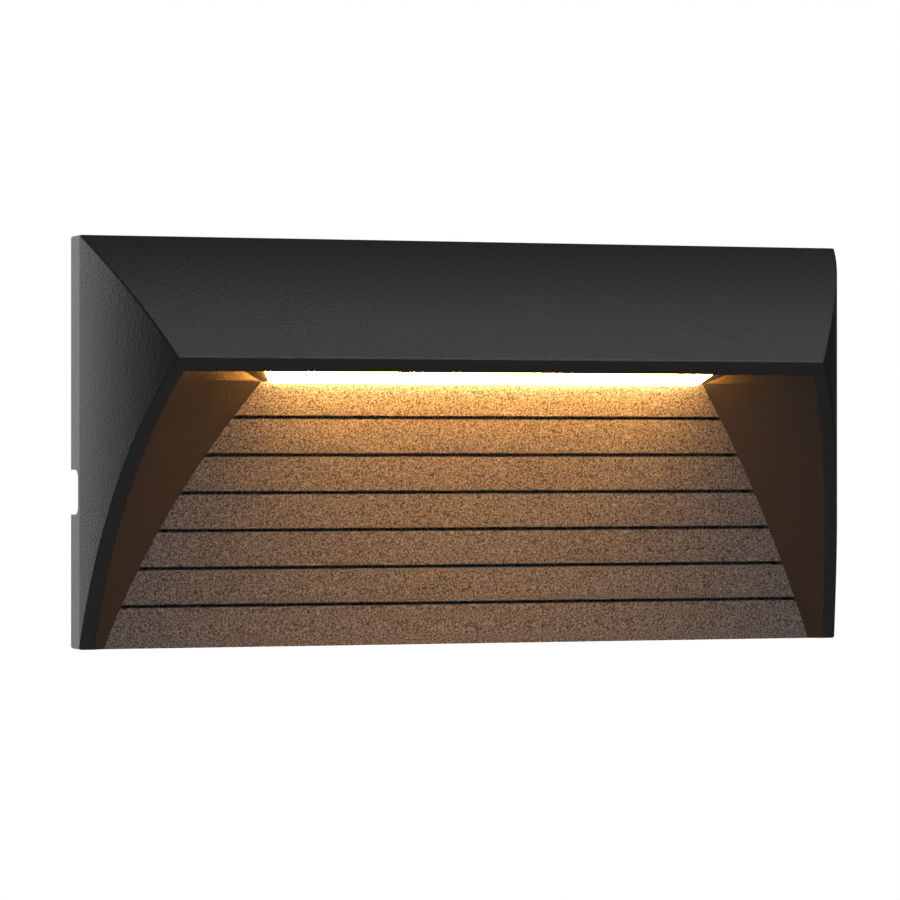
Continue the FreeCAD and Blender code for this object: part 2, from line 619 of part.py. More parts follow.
def casting_posts():
    """Bosses cast inside the housing, and the holes in them."""
    solids = []
    holes = []
    for x, height in chamber_screw_places():
        solids.append(rod(x, height, POST_RADIUS, CHAMBER_BACK_DEPTH, LIP_DEPTH))
        holes.append(rod(x, height, M25 + THREAD_GAP, CHAMBER_BACK_DEPTH, chamber_screw_end() + FREE_GAP))
    for x, height in driver_screw_places():
        solids.append(rod(x, height, POST_RADIUS, DRIVER_EAR_FRONT + SEAT_GAP, LIP_DEPTH))
        holes.append(rod(x, height, M25 + THREAD_GAP, DRIVER_EAR_FRONT, driver_screw_end() + FREE_GAP))
    for x, height in terminal_screw_places():
        solids.append(rod(x, height, POST_RADIUS, TERMINAL_FRONT_DEPTH + SEAT_GAP, LIP_DEPTH))
        holes.append(rod(x, height, M2 + THREAD_GAP, TERMINAL_FRONT_DEPTH, terminal_screw_end() + FREE_GAP))
    for x, height in panel_post_places():
        solids.append(rod(x, height, PANEL_PAD_RADIUS, pad_depth(height), LIP_DEPTH))
        holes.append(rod(x, height, PANEL_POST_RADIUS + FREE_GAP, 0, PANEL_TOP_DEPTH))
    solids.append(rod(EARTH_X, EARTH_HEIGHT, EARTH_BOSS_RADIUS, EARTH_BOSS_DEPTH, LIP_DEPTH))
    holes.append(rod(EARTH_X, EARTH_HEIGHT, M4 + THREAD_GAP, EARTH_BOSS_DEPTH, earth_screw_end() + FREE_GAP))
    for side in (1, -1):
        x = side * CARRIER_SCREW_X
        solids.append(tilted_rod(x, strip_middle(), POST_RADIUS, RECESS_WALL / 2, carrier_low() - SEAT_GAP))
        holes.append(tilted_rod(x, strip_middle(), M25 + THREAD_GAP, RECESS_WALL, carrier_low()))
    return solids, holes


def make_housing():
    room = inner_room().cut(recess_shell())
    shell = break_edges(outer_body()).cut(recess()).cut(room)
    posts, holes = casting_posts()
    inside = [chamber_frame(), hook_rib(1), hook_rib(-1)] + posts
    parts = [solid.common(room) for solid in inside]
    housing = join([shell] + [piece for part in parts for piece in part.Solids])
    cuts = [notch(1), notch(-1), foot_pocket(1), foot_pocket(-1), seal_run(SEAT_GAP)]
    cuts += [foot_screw_hole(1), foot_screw_hole(-1), window(0, -OUTSIDE / 2, OUTSIDE)]
    housing = housing.cut(holes + cuts)
    return housing


# ---- things set square to the tilted ceiling ------------------------------------------------------
def tilted(solid):
    """Put a solid made in the ceiling's frame (x, rise, run) in its place."""
    turn = FreeCAD.Rotation(FreeCAD.Vector(1, 0, 0), 90 - CEILING_TILT)
    placed = solid.copy()
    placed.Placement = FreeCAD.Placement(ceiling(0, 0), turn)
    return placed


def tilted_box(x0, x1, rise0, rise1, run0, run1):
    return tilted(Part.makeBox(x1 - x0, rise1 - rise0, run1 - run0, FreeCAD.Vector(x0, rise0, run0)))


def tilted_rod(x, run, radius, rise0, rise1):
    start = FreeCAD.Vector(x, rise0, run)
    return tilted(Part.makeCylinder(radius, rise1 - rise0, start, FreeCAD.Vector(0, 1, 0)))


def window(grown, rise0, rise1):
    """The light window's splayed outline, grown all round, between two rises."""
    near, far = WINDOW_START - grown, WINDOW_START + WINDOW_WIDTH + grown
    short, long = WINDOW_HALF_LENGTH + grown, WINDOW_HALF_LENGTH + WINDOW_SPLAY + grown
    corners = [(-short, near), (short, near), (long, far), (-long, far)]
    points = [FreeCAD.Vector(x, rise0, run) for x, run in corners]
    return tilted(prism(rounded(points, WINDOW_RADIUS), FreeCAD.Vector(0, rise1 - rise0, 0)))


def strip_middle():
    return WINDOW_START + WINDOW_WIDTH / 2


def flange_low():
    return RECESS_WALL + GASKET_THICKNESS


def flange_high():
    return flange_low() + FLANGE_THICKNESS


def board_high():
    return BOARD_HEIGHT + BOARD_THICKNESS


def carrier_low():
    return board_high() + PAD_THICKNESS


def carrier_high():
    return carrier_low() + CARRIER_THICKNESS


def led_places():
    return [(i - (LED_COUNT - 1) / 2) * LED_PITCH for i in range(LED_COUNT)]


def board_screw_places():
    return [BOARD_SCREW_PITCHES * LED_PITCH * i for i in (-1, 0, 1)]


def rise_of(point):
    """How far a place lies above the ceiling's plane, square to it."""
    up = ceiling(0, 1) - ceiling(0, 0)
    return (point - ceiling(0, 0)).dot(up)


def soften_face(lens):
    """Round the edges of the face that hangs below the ceiling."""
    limit = LENS_ROUNDING - LENS_PROUD
    rim = [edge for edge in lens.Edges if all(rise_of(v.Point) < limit for v in edge.Vertexes)]
    return lens.makeFillet(LENS_ROUNDING, rim)


def make_diffuser():
    body = soften_face(window(-WINDOW_CLEARANCE, -LENS_PROUD, flange_high()))
    flange = window(FLANGE_OVERHANG, flange_low(), flange_high())
    hollow = window(-LENS_RIM, LENS_SKIN - LENS_PROUD, flange_high() + OUTSIDE)
    return join([body, flange]).cut(hollow)


def make_diffuser_gasket():
    ring = window(FLANGE_OVERHANG - GASKET_MARGIN, RECESS_WALL, flange_low())
    return ring.cut(window(GASKET_MARGIN, 0, OUTSIDE))


def board_outline(rise0, rise1, margin):
    half = BOARD_HALF_LENGTH - margin
    reach = BOARD_WIDTH / 2 - margin
    return tilted_box(-half, half, rise0, rise1, strip_middle() - reach, strip_middle() + reach)


def board_screw_holes(gap):
    return [tilted_rod(x, strip_middle(), M2 + gap, 0, carrier_high()) for x in board_screw_places()]


def make_led_board():
    return board_outline(BOARD_HEIGHT, board_high(), 0).cut(board_screw_holes(FREE_GAP))


def make_leds():
    middle, half = strip_middle(), LED_WIDTH / 2
    rises = (BOARD_HEIGHT - LED_THICKNESS, BOARD_HEIGHT)
    reach = LED_LENGTH / 2
    lamps = [tilted_box(x - reach, x + reach, *rises, middle - half, middle + half) for x in led_places()]
    return Part.makeCompound(lamps)


def solder_slot(rise0, rise1):
    half = SOLDER_SLOT_LENGTH / 2
    runs = (strip_middle() - SOLDER_SLOT_WIDTH / 2, strip_middle() + SOLDER_SLOT_WIDTH / 2)
    return tilted_box(SOLDER_SLOT_X - half, SOLDER_SLOT_X + half, rise0, rise1, *runs)


def make_thermal_pad():
    pad = board_outline(board_high(), carrier_low(), PAD_MARGIN).cut(board_screw_holes(FREE_GAP))
    return pad.cut(solder_slot(0, carrier_high()))


def make_led_carrier():
    low, high = WINDOW_START - FLANGE_OVERHANG, WINDOW_START + WINDOW_WIDTH + FLANGE_OVERHANG
    near, far = low + WINDOW_CLEARANCE, high - WINDOW_CLEARANCE
    web = tilted_box(-CARRIER_HALF_LENGTH, CARRIER_HALF_LENGTH, carrier_low(), carrier_high(), near, far)
    reach = WINDOW_HALF_LENGTH + FLANGE_OVERHANG
    rises = (flange_high() + SEAT_GAP, carrier_low())
    lips = [tilted_box(-reach, reach, *rises, near, near + CARRIER_LIP)]
    lips.append(tilted_box(-reach, reach, *rises, far - CARRIER_LIP, far))
    carrier = join([web] + lips).cut(board_screw_holes(THREAD_GAP))
    places = (CARRIER_SCREW_X, -CARRIER_SCREW_X)
    holes = [tilted_rod(x, strip_middle(), M25 + FREE_GAP, 0, carrier_high()) for x in places]
    return carrier.cut(holes + [solder_slot(0, carrier_high() + OUTSIDE)])


def make_led_board_screws():
    """Three screws through the board, heads on its lit face."""
    radius, thickness = M2 * BOARD_HEAD_RATIO, M2 * HEAD_THICKNESS
    screws = []
    for x in board_screw_places():
        head = tilted_rod(x, strip_middle(), radius, BOARD_HEIGHT - thickness, BOARD_HEIGHT)
        screws.append(head.fuse(tilted_rod(x, strip_middle(), M2, BOARD_HEIGHT, carrier_high())))
    return Part.makeCompound(screws)


def make_led_carrier_screws():
    screws = []
    for side in (1, -1):
        x = side * CARRIER_SCREW_X
        top = carrier_high() + M25 * HEAD_THICKNESS
        head = tilted_rod(x, strip_middle(), M25 * HEAD_RATIO, carrier_high(), top)
        shank = tilted_rod(x, strip_middle(), M25, RECESS_WALL + FREE_GAP, carrier_high())
        screws.append(head.fuse(shank))
    return Part.makeCompound(screws)


# ---- grooved panel ----------------------------------------------------------------------------------
def panel_hole_end(height):
    """Depth where a screw hole ends, halfway between a groove's floor and the panel's back."""
    return PANEL.across(height, (GROOVE_DEPTH + PANEL_THICKNESS) / 2)


def make_grooved_panel():
    top = PANEL_TOP_HEIGHT - PANEL_GAP
    front, back = PANEL.across(top), PANEL.across(top, PANEL_THICKNESS)
    foot_front, foot_back = PANEL.across(0), PANEL.across(0, PANEL_THICKNESS)
    sheet = along_wall([
        Part.makeLine(at(0, foot_back, 0), at(0, foot_front, 0)),
        upright_arc(PANEL, 0, top),
        Part.makeLine(at(0, front, top), at(0, back, top)),
        upright_arc(PANEL, 0, top, PANEL_THICKNESS),
    ])
    plate = sheet.common(flare(slack=2 * PANEL_GAP)[0])
    posts = []
    cuts = []
    for x, height in panel_post_places():
        face = pad_depth(height) + FREE_GAP
        posts.append(rod(x, height, PANEL_POST_RADIUS, face, PANEL.across(height, PANEL_THICKNESS / 2)))
        cuts.append(rod(x, height, M25 + THREAD_GAP, face, panel_hole_end(height)))
    for i in range(GROOVE_COUNT):
        height = GROOVE_FIRST + GROOVE_PITCH * i
        low, high = height - GROOVE_WIDTH / 2, height + GROOVE_WIDTH / 2
        cuts.append(box(-WIDTH, WIDTH, PANEL.across(height) - GROOVE_DEPTH, LIP_DEPTH, low, high))
    return join([plate] + posts).cut(cuts)


def screw(x, height, shank, head_face, end, head_thickness, head_radius=None):
    """A screw driven from the wall side: head behind head_face, shank out to `end`."""
    radius = head_radius or shank * HEAD_RATIO
    back = head_face - head_thickness
    head = rod(x, height, radius, back, head_face)
    half, reach = shank * HEAD_RATIO * CROSS_WIDTH, shank * HEAD_RATIO * CROSS_REACH
    floor = back + head_thickness * CROSS_DEPTH
    level = box(x - reach, x + reach, back, floor, height - half, height + half)
    upright = box(x - half, x + half, back, floor, height - reach, height + reach)
    return head.fuse(rod(x, height, shank, head_face, end)).cut([level, upright])


def make_panel_screws():
    screws = []
    for x, height in panel_post_places():
        face = pad_depth(height) - SEAT_GAP
        end = panel_hole_end(height) - FREE_GAP
        radius = PANEL_PAD_RADIUS - FREE_GAP
        screws.append(screw(x, height, M25, face, end, PANEL_SCREW_HEAD, radius))
    return Part.makeCompound(screws)


# ---- chamber cover ------------------------------------------------------------------------------------
def cover_front():
    return CHAMBER_BACK_DEPTH - CHAMBER_GASKET


def cover_back():
    return cover_front() - CHAMBER_COVER


def chamber_screw_end():
    return CHAMBER_BACK_DEPTH + 3 * M25


def chamber_plate(depth0, depth1, margin):
    """The cover's rounded outline between two depths."""
    half = CHAMBER_HALF_LENGTH + CHAMBER_WALL - margin
    low = CHAMBER_FLOOR - CHAMBER_WALL + margin
    high = CHAMBER_ROOF + CHAMBER_WALL - margin
    points = [at(-half, depth0, low), at(half, depth0, low)]
    points += [at(half, depth0, high), at(-half, depth0, high)]
    return prism(rounded(points, CHAMBER_COVER_RADIUS), FreeCAD.Vector(0, depth0 - depth1, 0))


def make_led_chamber_gasket():
    depths = (cover_front(), CHAMBER_BACK_DEPTH)
    gasket = chamber_plate(*depths, GASKET_MARGIN)
    opening = box(-GASKET_WINDOW_HALF, GASKET_WINDOW_HALF, *depths, CHAMBER_FLOOR, CHAMBER_ROOF)
    holes = [rod(x, h, M25 + FREE_GAP, *depths) for x, h in chamber_screw_places()]
    return gasket.cut([opening] + holes)


def make_led_chamber_cover():
    cover = chamber_plate(cover_back(), cover_front(), 0)
    depths = (cover_back(), cover_front())
    holes = [rod(x, h, M25 + FREE_GAP, *depths) for x, h in chamber_screw_places()]
    return cover.cut(holes + [rod(SOLDER_SLOT_X, LEAD_HOLE_HEIGHT, LEAD_HOLE_RADIUS, *depths)])


def make_led_chamber_screws():
    face = cover_back()
    thickness = M25 * HEAD_THICKNESS
    screws = [screw(x, h, M25, face, chamber_screw_end(), thickness) for x, h in chamber_screw_places()]
    return Part.makeCompound(screws)


def make_lead_grommet():
    radius = LEAD_HOLE_RADIUS - THREAD_GAP
    low, high = cover_back() - GROMMET_LIP, cover_front() + GROMMET_LIP
    body = rod(SOLDER_SLOT_X, LEAD_HOLE_HEIGHT, radius, low, high)
    wide = LEAD_HOLE_RADIUS + GROMMET_LIP
    back = rod(SOLDER_SLOT_X, LEAD_HOLE_HEIGHT, wide, low, cover_back())
    front = rod(SOLDER_SLOT_X, LEAD_HOLE_HEIGHT, wide, cover_front(), high)
    pair = (SOLDER_SLOT_X - LEAD_SPREAD, SOLDER_SLOT_X + LEAD_SPREAD)
    bores = [rod(x, LEAD_HOLE_HEIGHT, LED_LEAD_RADIUS + THREAD_GAP, 0, LIP_DEPTH) for x in pair]
    return join([body, back, front]).cut(bores)


# ---- driver -------------------------------------------------------------------------------------------
def driver_screw_end():
    return DRIVER_EAR_FRONT + 4 * M25


def driver_back():
    return PLATE_THICKNESS + DRIVER_CLEARANCE


def driver_lid_front():
    return driver_back() + DRIVER_LID


def driver_board_front():
    return DRIVER_FRONT_DEPTH - DRIVER_WALL - DRIVER_BOARD_STANDOFF


def driver_board_back():
    return driver_board_front() - DRIVER_BOARD_THICKNESS


def driver_middle():
    return (DRIVER_FLOOR + DRIVER_ROOF) / 2


def standoff_places():
    x = DRIVER_HALF_LENGTH - DRIVER_WALL - STANDOFF_MARGIN
    low, high = DRIVER_FLOOR + DRIVER_WALL + STANDOFF_MARGIN, DRIVER_ROOF - DRIVER_WALL - STANDOFF_MARGIN
    return [(side * x, h) for side in (1, -1) for h in (low, high)]


def make_driver_case():
    half = DRIVER_HALF_LENGTH
    block = box(-half, half, driver_lid_front() + SEAT_GAP, DRIVER_FRONT_DEPTH, DRIVER_FLOOR, DRIVER_ROOF)
    inner = half - DRIVER_WALL
    depths = (0, DRIVER_FRONT_DEPTH - DRIVER_WALL)
    hollow = box(-inner, inner, *depths, DRIVER_FLOOR + DRIVER_WALL, DRIVER_ROOF - DRIVER_WALL)
    case = block.cut(hollow)
    standoff = (driver_board_front() + SEAT_GAP, DRIVER_FRONT_DEPTH)
    extras = [rod(x, h, STANDOFF_RADIUS, *standoff) for x, h in standoff_places()]
    ear_back = DRIVER_EAR_FRONT - DRIVER_EAR_THICKNESS
    for side in (1, -1):
        x0, x1 = side * (half - DRIVER_WALL / 2), side * (half + DRIVER_EAR)
        extras.append(box(x0, x1, ear_back, DRIVER_EAR_FRONT, DRIVER_FLOOR, DRIVER_FLOOR + DRIVER_EAR))
    holes = [rod(x, h, M25 + FREE_GAP, 0, DRIVER_EAR_FRONT) for x, h in driver_screw_places()]
    for points, radius in list(led_routes().values()) + list(mains_routes().values()):
        end = points[-1]
        x, (depth, height) = end.x, side_view(end)
        start = at(x - OUTSIDE, depth, height)
        holes.append(Part.makeCylinder(radius + THREAD_GAP, 2 * OUTSIDE, start, FreeCAD.Vector(1, 0, 0)))
    return join([case] + extras).cut(holes)


def make_driver_lid():
    half = DRIVER_HALF_LENGTH
    plate = box(-half, half, driver_back(), driver_lid_front(), DRIVER_FLOOR, DRIVER_ROOF)
    inner = half - DRIVER_WALL - PANEL_GAP
    low, high = DRIVER_FLOOR + DRIVER_WALL + PANEL_GAP, DRIVER_ROOF - DRIVER_WALL - PANEL_GAP
    depths = (driver_lid_front(), driver_lid_front() + DRIVER_LID / 2)
    spigot = box(-inner, inner, *depths, low, high)
    rim = box(-inner + DRIVER_WALL, inner - DRIVER_WALL, *depths, low + DRIVER_WALL, high - DRIVER_WALL)
    return join([plate, spigot.cut(rim)])


def make_driver_board():
    half = DRIVER_HALF_LENGTH - DRIVER_WALL - DRIVER_BOARD_MARGIN
    low = DRIVER_FLOOR + DRIVER_WALL + DRIVER_BOARD_MARGIN
    high = DRIVER_ROOF - DRIVER_WALL - DRIVER_BOARD_MARGIN
    return box(-half, half, driver_board_back(), driver_board_front(), low, high)


def make_driver_transformer():
    """Ferrite core with its bobbin flanges, lying on the board."""
    back = driver_board_back() - PART_GAP
    half, tall = TRANSFORMER_LENGTH / 2, TRANSFORMER_HEIGHT / 2
    x, h = TRANSFORMER_X, driver_middle()
    core = box(x - half, x + half, back - TRANSFORMER_THICKNESS, back, h - tall / 2, h + tall / 2)
    coil = box(x - half / 2, x + half / 2, back - TRANSFORMER_THICKNESS, back, h - tall, h + tall)
    return join([core, coil])


def make_driver_capacitor():
    depth = driver_board_back() - PART_GAP - CAPACITOR_RADIUS
    start = at(CAPACITOR_X - CAPACITOR_LENGTH / 2, depth, driver_middle())
    return Part.makeCylinder(CAPACITOR_RADIUS, CAPACITOR_LENGTH, start, FreeCAD.Vector(1, 0, 0))


def make_driver_inductor():
    back = driver_board_back() - PART_GAP
    depths = (back - INDUCTOR_THICKNESS, back)
    ring = rod(INDUCTOR_X, driver_middle(), INDUCTOR_RADIUS, *depths)
    return ring.cut(rod(INDUCTOR_X, driver_middle(), INDUCTOR_BORE, *depths))


def make_driver_screws():
    face = DRIVER_EAR_FRONT - DRIVER_EAR_THICKNESS - SEAT_GAP
    thickness = M25 * HEAD_THICKNESS
    screws = [screw(x, h, M25, face, driver_screw_end(), thickness) for x, h in driver_screw_places()]
    return Part.makeCompound(screws)


# ---- terminal block and earth -------------------------------------------------------------------------
def pole_places():
    return [TERMINAL_LEFT + TERMINAL_POLE * (i + 0.5) for i in range(TERMINAL_POLES)]


def terminal_depth():
    return (TERMINAL_BACK_DEPTH + TERMINAL_FRONT_DEPTH) / 2


def terminal_screw_end():
    return TERMINAL_FRONT_DEPTH + 4 * M2


def clamp_screw_heights():
    middle = TERMINAL_FLOOR + TERMINAL_HEIGHT / 2
    return (middle - CLAMP_SCREW_OFFSET, middle + CLAMP_SCREW_OFFSET)


def make_terminal_block():
    right = TERMINAL_LEFT + TERMINAL_POLE * TERMINAL_POLES
    top = TERMINAL_FLOOR + TERMINAL_HEIGHT
    block = box(TERMINAL_LEFT, right, TERMINAL_BACK_DEPTH, TERMINAL_FRONT_DEPTH, TERMINAL_FLOOR, top)
    cuts = []
    for x in pole_places():
        cuts.append(post(x, terminal_depth(), CLAMP_OUTER + THREAD_GAP, TERMINAL_FLOOR, top))
        for height in clamp_screw_heights():
            cuts.append(rod(x, height, M3 + FREE_GAP, 0, terminal_depth()))
    for x, height in terminal_screw_places():
        cuts.append(rod(x, height, M2 + FREE_GAP, 0, TERMINAL_FRONT_DEPTH))
        cuts.append(rod(x, height, M2 * HEAD_RATIO + THREAD_GAP, 0, TERMINAL_BACK_DEPTH + 2 * M2))
    return block.cut(cuts)


def make_terminal_clamps():
    """Brass tubes that hold the cores, one in each pole."""
    low, high = TERMINAL_FLOOR + CLAMP_SET_BACK, TERMINAL_FLOOR + TERMINAL_HEIGHT - CLAMP_SET_BACK
    clamps = []
    for x in pole_places():
        tube = post(x, terminal_depth(), CLAMP_OUTER, low, high)
        cuts = [post(x, terminal_depth(), CLAMP_BORE, low, high)]
        cuts += [rod(x, h, M3 + THREAD_GAP, 0, terminal_depth()) for h in clamp_screw_heights()]
        clamps.append(tube.cut(cuts))
    return Part.makeCompound(clamps)


def make_terminal_clamp_screws():
    """Two slotted grub screws for each pole, reached from the wall side."""
    start = TERMINAL_BACK_DEPTH
    slot_depths = (start, start + GRUB_SLOT_DEPTH)
    half = GRUB_SLOT_WIDTH / 2
    screws = []
    for x in pole_places():
        for height in clamp_screw_heights():
            body = rod(x, height, M3, start, start + CLAMP_SCREW_LENGTH / 2)
            screws.append(body.cut(box(x - M3, x + M3, *slot_depths, height - half, height + half)))
    return Part.makeCompound(screws)


def make_terminal_block_screws():
    face = TERMINAL_BACK_DEPTH + 2 * M2 - SEAT_GAP
    thickness = M2 * HEAD_THICKNESS
    screws = [screw(x, h, M2, face, terminal_screw_end(), thickness) for x, h in terminal_screw_places()]
    return Part.makeCompound(screws)


def earth_screw_end():
    return EARTH_BOSS_DEPTH + 4 * M4


def earth_tag_back():
    return EARTH_BOSS_DEPTH - SEAT_GAP - EARTH_TAG_THICKNESS


def earth_barrel_top():
    return EARTH_HEIGHT - EARTH_TAG_RADIUS


def make_earth_tag():
    """Ring tag with a crimp barrel that points down to the terminal block."""
    depths = (earth_tag_back(), EARTH_BOSS_DEPTH - SEAT_GAP)
    ring = rod(EARTH_X, EARTH_HEIGHT, EARTH_TAG_RADIUS, *depths)
    middle = earth_lead_depth()
    low = earth_barrel_top() - EARTH_BARREL_LENGTH
    barrel = post(EARTH_X, middle, EARTH_BARREL_RADIUS, low, earth_barrel_top())
    neck = box(EARTH_X - M4, EARTH_X + M4, *depths, low, EARTH_HEIGHT)
    radius = MAINS_LEAD_RADIUS + THREAD_GAP
    bore = post(EARTH_X, middle, radius, low - OUTSIDE, earth_barrel_top() - PART_GAP)
    cuts = [rod(EARTH_X, EARTH_HEIGHT, M4 + FREE_GAP, 0, EARTH_BOSS_DEPTH), bore]
    return join([ring, neck, barrel]).cut(cuts)


def earth_lead_depth():
    return earth_tag_back() - EARTH_BARREL_RADIUS / 2


def make_earth_screw():
    face = earth_tag_back() - SEAT_GAP
    return screw(EARTH_X, EARTH_HEIGHT, M4, face, earth_screw_end(), M4 * HEAD_THICKNESS)


# ---- leads inside the light -----------------------------------------------------------------------------
def by_driver(left, forward, up):
    """A place measured from the upper left corner of the driver case's back."""
    return at(-DRIVER_HALF_LENGTH - left, driver_back() + forward, DRIVER_ROOF + up)


def led_routes():
    """Centre lines of the two leads from the light strip's board to the driver."""
    solder = ceiling(strip_middle(), board_high() + SOLDER_GAP)
    routes = {}
    for name, side in (("led_lead_positive", -1), ("led_lead_negative", 1)):
        x = SOLDER_SLOT_X + side * LEAD_SPREAD
        up = side * LEAD_DROP_SPREAD - 5.0
        routes[name] = ([
            solder + FreeCAD.Vector(x, 0, 0),
            at(x, CHAMBER_BACK_DEPTH + 3.4, LEAD_HOLE_HEIGHT), at(x, cover_back() - 4.2, LEAD_HOLE_HEIGHT),
            by_driver(4.5, 5.3, up), by_driver(-DRIVER_WALL, 5.3, up),
        ], LED_LEAD_RADIUS)
    return routes


def clamped_end():
    """Height at which a lead ends inside its clamp."""
    return TERMINAL_FLOOR + TERMINAL_HEIGHT - CLAMP_SET_BACK - 2 * MAINS_LEAD_RADIUS


def mains_routes():
    """Centre lines of the live and neutral leads from the terminal block to the driver."""
    depth = terminal_depth()
    poles = pole_places()
    start = clamped_end()
    live = [
        at(poles[1], depth, start), at(poles[1], depth, start + 10.8),
        at(poles[1] + 6.0, depth - 1.1, start + 18.8), by_driver(21.0, 2.7, 1.0),
        by_driver(12.5, 2.7, -6.0), by_driver(6.0, 2.7, -10.0), by_driver(-DRIVER_WALL, 2.7, -10.0),
    ]
    neutral = [
        at(poles[2], depth, start), at(poles[2], depth, start + 8.3),
        at(poles[2] + 6.0, depth - 1.3, start + 13.3), by_driver(14.5, 2.7, -10.5),
        by_driver(8.0, 2.7, -14.0), by_driver(-DRIVER_WALL, 2.7, -14.0),
    ]
    return {"live_lead": (live, MAINS_LEAD_RADIUS), "neutral_lead": (neutral, MAINS_LEAD_RADIUS)}


def earth_route():
    """Centre line of the lead from the first pole to the earth tag."""
    pole = pole_places()[0]
    top = earth_barrel_top() - 2 * PART_GAP
    low = earth_barrel_top() - EARTH_BARREL_LENGTH
    return [
        at(pole, terminal_depth(), clamped_end()), at(pole, terminal_depth(), clamped_end() + 4.8),
        at(EARTH_X, earth_lead_depth(), low - 1.8), at(EARTH_X, earth_lead_depth(), top),
    ]


def lead(points, radius, name):
    """A round lead along straight runs joined by tangent arcs as large as the runs allow."""
    edges = []
    here = points[0]
    for before, point, after in zip(points, points[1:], points[2:]):
        trim = min(LEAD_BEND, 0.45 * min((point - before).Length, (after - point).Length))
        start, middle, end = corner(before, point, after, trim)
        bend = Part.Arc(start, middle, end).toShape()
        edges += [Part.makeLine(here, start), bend]
        here = end
    edges.append(Part.makeLine(here, points[-1]))
    length = sum(edge.Length for edge in edges)
    tightest = min(edge.Curve.Radius for edge in edges if hasattr(edge.Curve, "Radius"))
    circle = Part.Wire(Part.makeCircle(radius, points[0], points[1] - points[0]))
    tube = Part.Wire(edges).makePipeShell([circle], True, False)
    expected = math.pi * radius ** 2 * length
    share = tube.Volume / expected
    print(f"{name}: {length:.1f} mm long, tightest bend {tightest:.1f} mm, volume/expected {share:.4f}")
    return tube


# ---- wall side ------------------------------------------------------------------------------------------
def cable_relief(side):
    """Cut in the mounting plate's edge behind a cable notch."""
    half = NOTCH_WIDTH / 2 + PLATE_CLEARANCE
    inner = side * (WIDTH / 2 - NOTCH_REACH)
    outer = side * (WIDTH / 2 + OUTSIDE)
    return box(inner, outer, 0, PLATE_THICKNESS, NOTCH_HEIGHT - half, NOTCH_HEIGHT + half)


def slot(x, height):
    """Slotted hole along the wall."""
    half = SLOT_LENGTH / 2 - SLOT_RADIUS
    depths = (0, PLATE_THICKNESS)
    middle = box(x - half, x + half, *depths, height - SLOT_RADIUS, height + SLOT_RADIUS)
    ends = [rod(x - half, height, SLOT_RADIUS, *depths), rod(x + half, height, SLOT_RADIUS, *depths)]
    return join([middle] + ends)


def hook(side):
    """Tab folded out of the mounting plate's top edge, turned up behind the housing's rib."""
    x0, x1 = side * HOOK_X - HOOK_WIDTH / 2, side * HOOK_X + HOOK_WIDTH / 2
    rib_front = HOOK_RIB_DEPTH + HOOK_RIB
    end = rib_front + TAB_CLEARANCE + PLATE_THICKNESS
    shelf_foot = PLATE_TOP - PLATE_THICKNESS
    shelf = box(x0, x1, 0, end, shelf_foot, PLATE_TOP)
    turned = box(x0, x1, end - PLATE_THICKNESS, end, shelf_foot, HEIGHT - WALL - TAB_CLEARANCE)
    return [shelf, turned]


def foot_tab(side):
    """Leg and folded tab that the foot screw threads into."""
    outer = side * (WIDTH / 2 - WALL - PLATE_CLEARANCE)
    low = FOOT_WALL + TAB_CLEARANCE
    leg = box(outer - side * FOOT_LEG_WIDTH, outer, 0, PLATE_THICKNESS, low, PLATE_FOOT + PLATE_RADIUS)
    depths = (0, FOOT_POCKET_DEPTH - TAB_CLEARANCE)
    tab = box(outer - side * FOOT_TAB_WIDTH, outer, *depths, low, low + PLATE_THICKNESS)
    return [leg, tab]


def make_mounting_plate():
    half = WIDTH / 2 - WALL - PLATE_CLEARANCE
    points = [at(-half, 0, PLATE_FOOT), at(half, 0, PLATE_FOOT)]
    points += [at(half, 0, PLATE_TOP), at(-half, 0, PLATE_TOP)]
    sheet = prism(rounded(points, PLATE_RADIUS), FreeCAD.Vector(0, -PLATE_THICKNESS, 0))
    plate = join([sheet] + hook(1) + hook(-1) + foot_tab(1) + foot_tab(-1))
    cuts = [cable_relief(1), cable_relief(-1)]
    for side in (1, -1):
        cuts.append(slot(side * SLOT_SPACING / 2, SLOT_HEIGHT))
        x = side * WALL_HOLE_SPACING / 2
        cuts.append(rod(x, WALL_HOLE_HEIGHT, WALL_HOLE_RADIUS, 0, PLATE_THICKNESS))
        cuts.append(post(side * FOOT_SCREW_X, FOOT_SCREW_DEPTH, M3 + THREAD_GAP, FOOT_WALL, 2 * FOOT_WALL))
    cuts.append(rod(0, CABLE_HOLE_HEIGHT, CABLE_HOLE_RADIUS, 0, PLATE_THICKNESS))
    return plate.cut(cuts)


def make_cable_grommet():
    """Grommet in the mounting plate's cable hole, flush with the wall."""
    body = rod(0, CABLE_HOLE_HEIGHT, CABLE_HOLE_RADIUS - THREAD_GAP, 0, PLATE_THICKNESS + SEAT_GAP)
    front = PLATE_THICKNESS + CABLE_FLANGE_THICKNESS
    flange = rod(0, CABLE_HOLE_HEIGHT, CABLE_HOLE_RADIUS + CABLE_FLANGE, PLATE_THICKNESS + SEAT_GAP, front)
    return join([body, flange]).cut(rod(0, CABLE_HOLE_HEIGHT, CABLE_BORE_RADIUS, 0, front))


def hexagon_socket(x, depth, height):
    """Socket cut up into a screw's head."""
    reach = SOCKET_ACROSS / math.sqrt(3)
    turns = [math.radians(60 * i) for i in range(6)]
    points = [at(x + reach * math.cos(a), depth + reach * math.sin(a), height) for a in turns]
    return prism(loop(points), FreeCAD.Vector(0, 0, SOCKET_DEPTH))


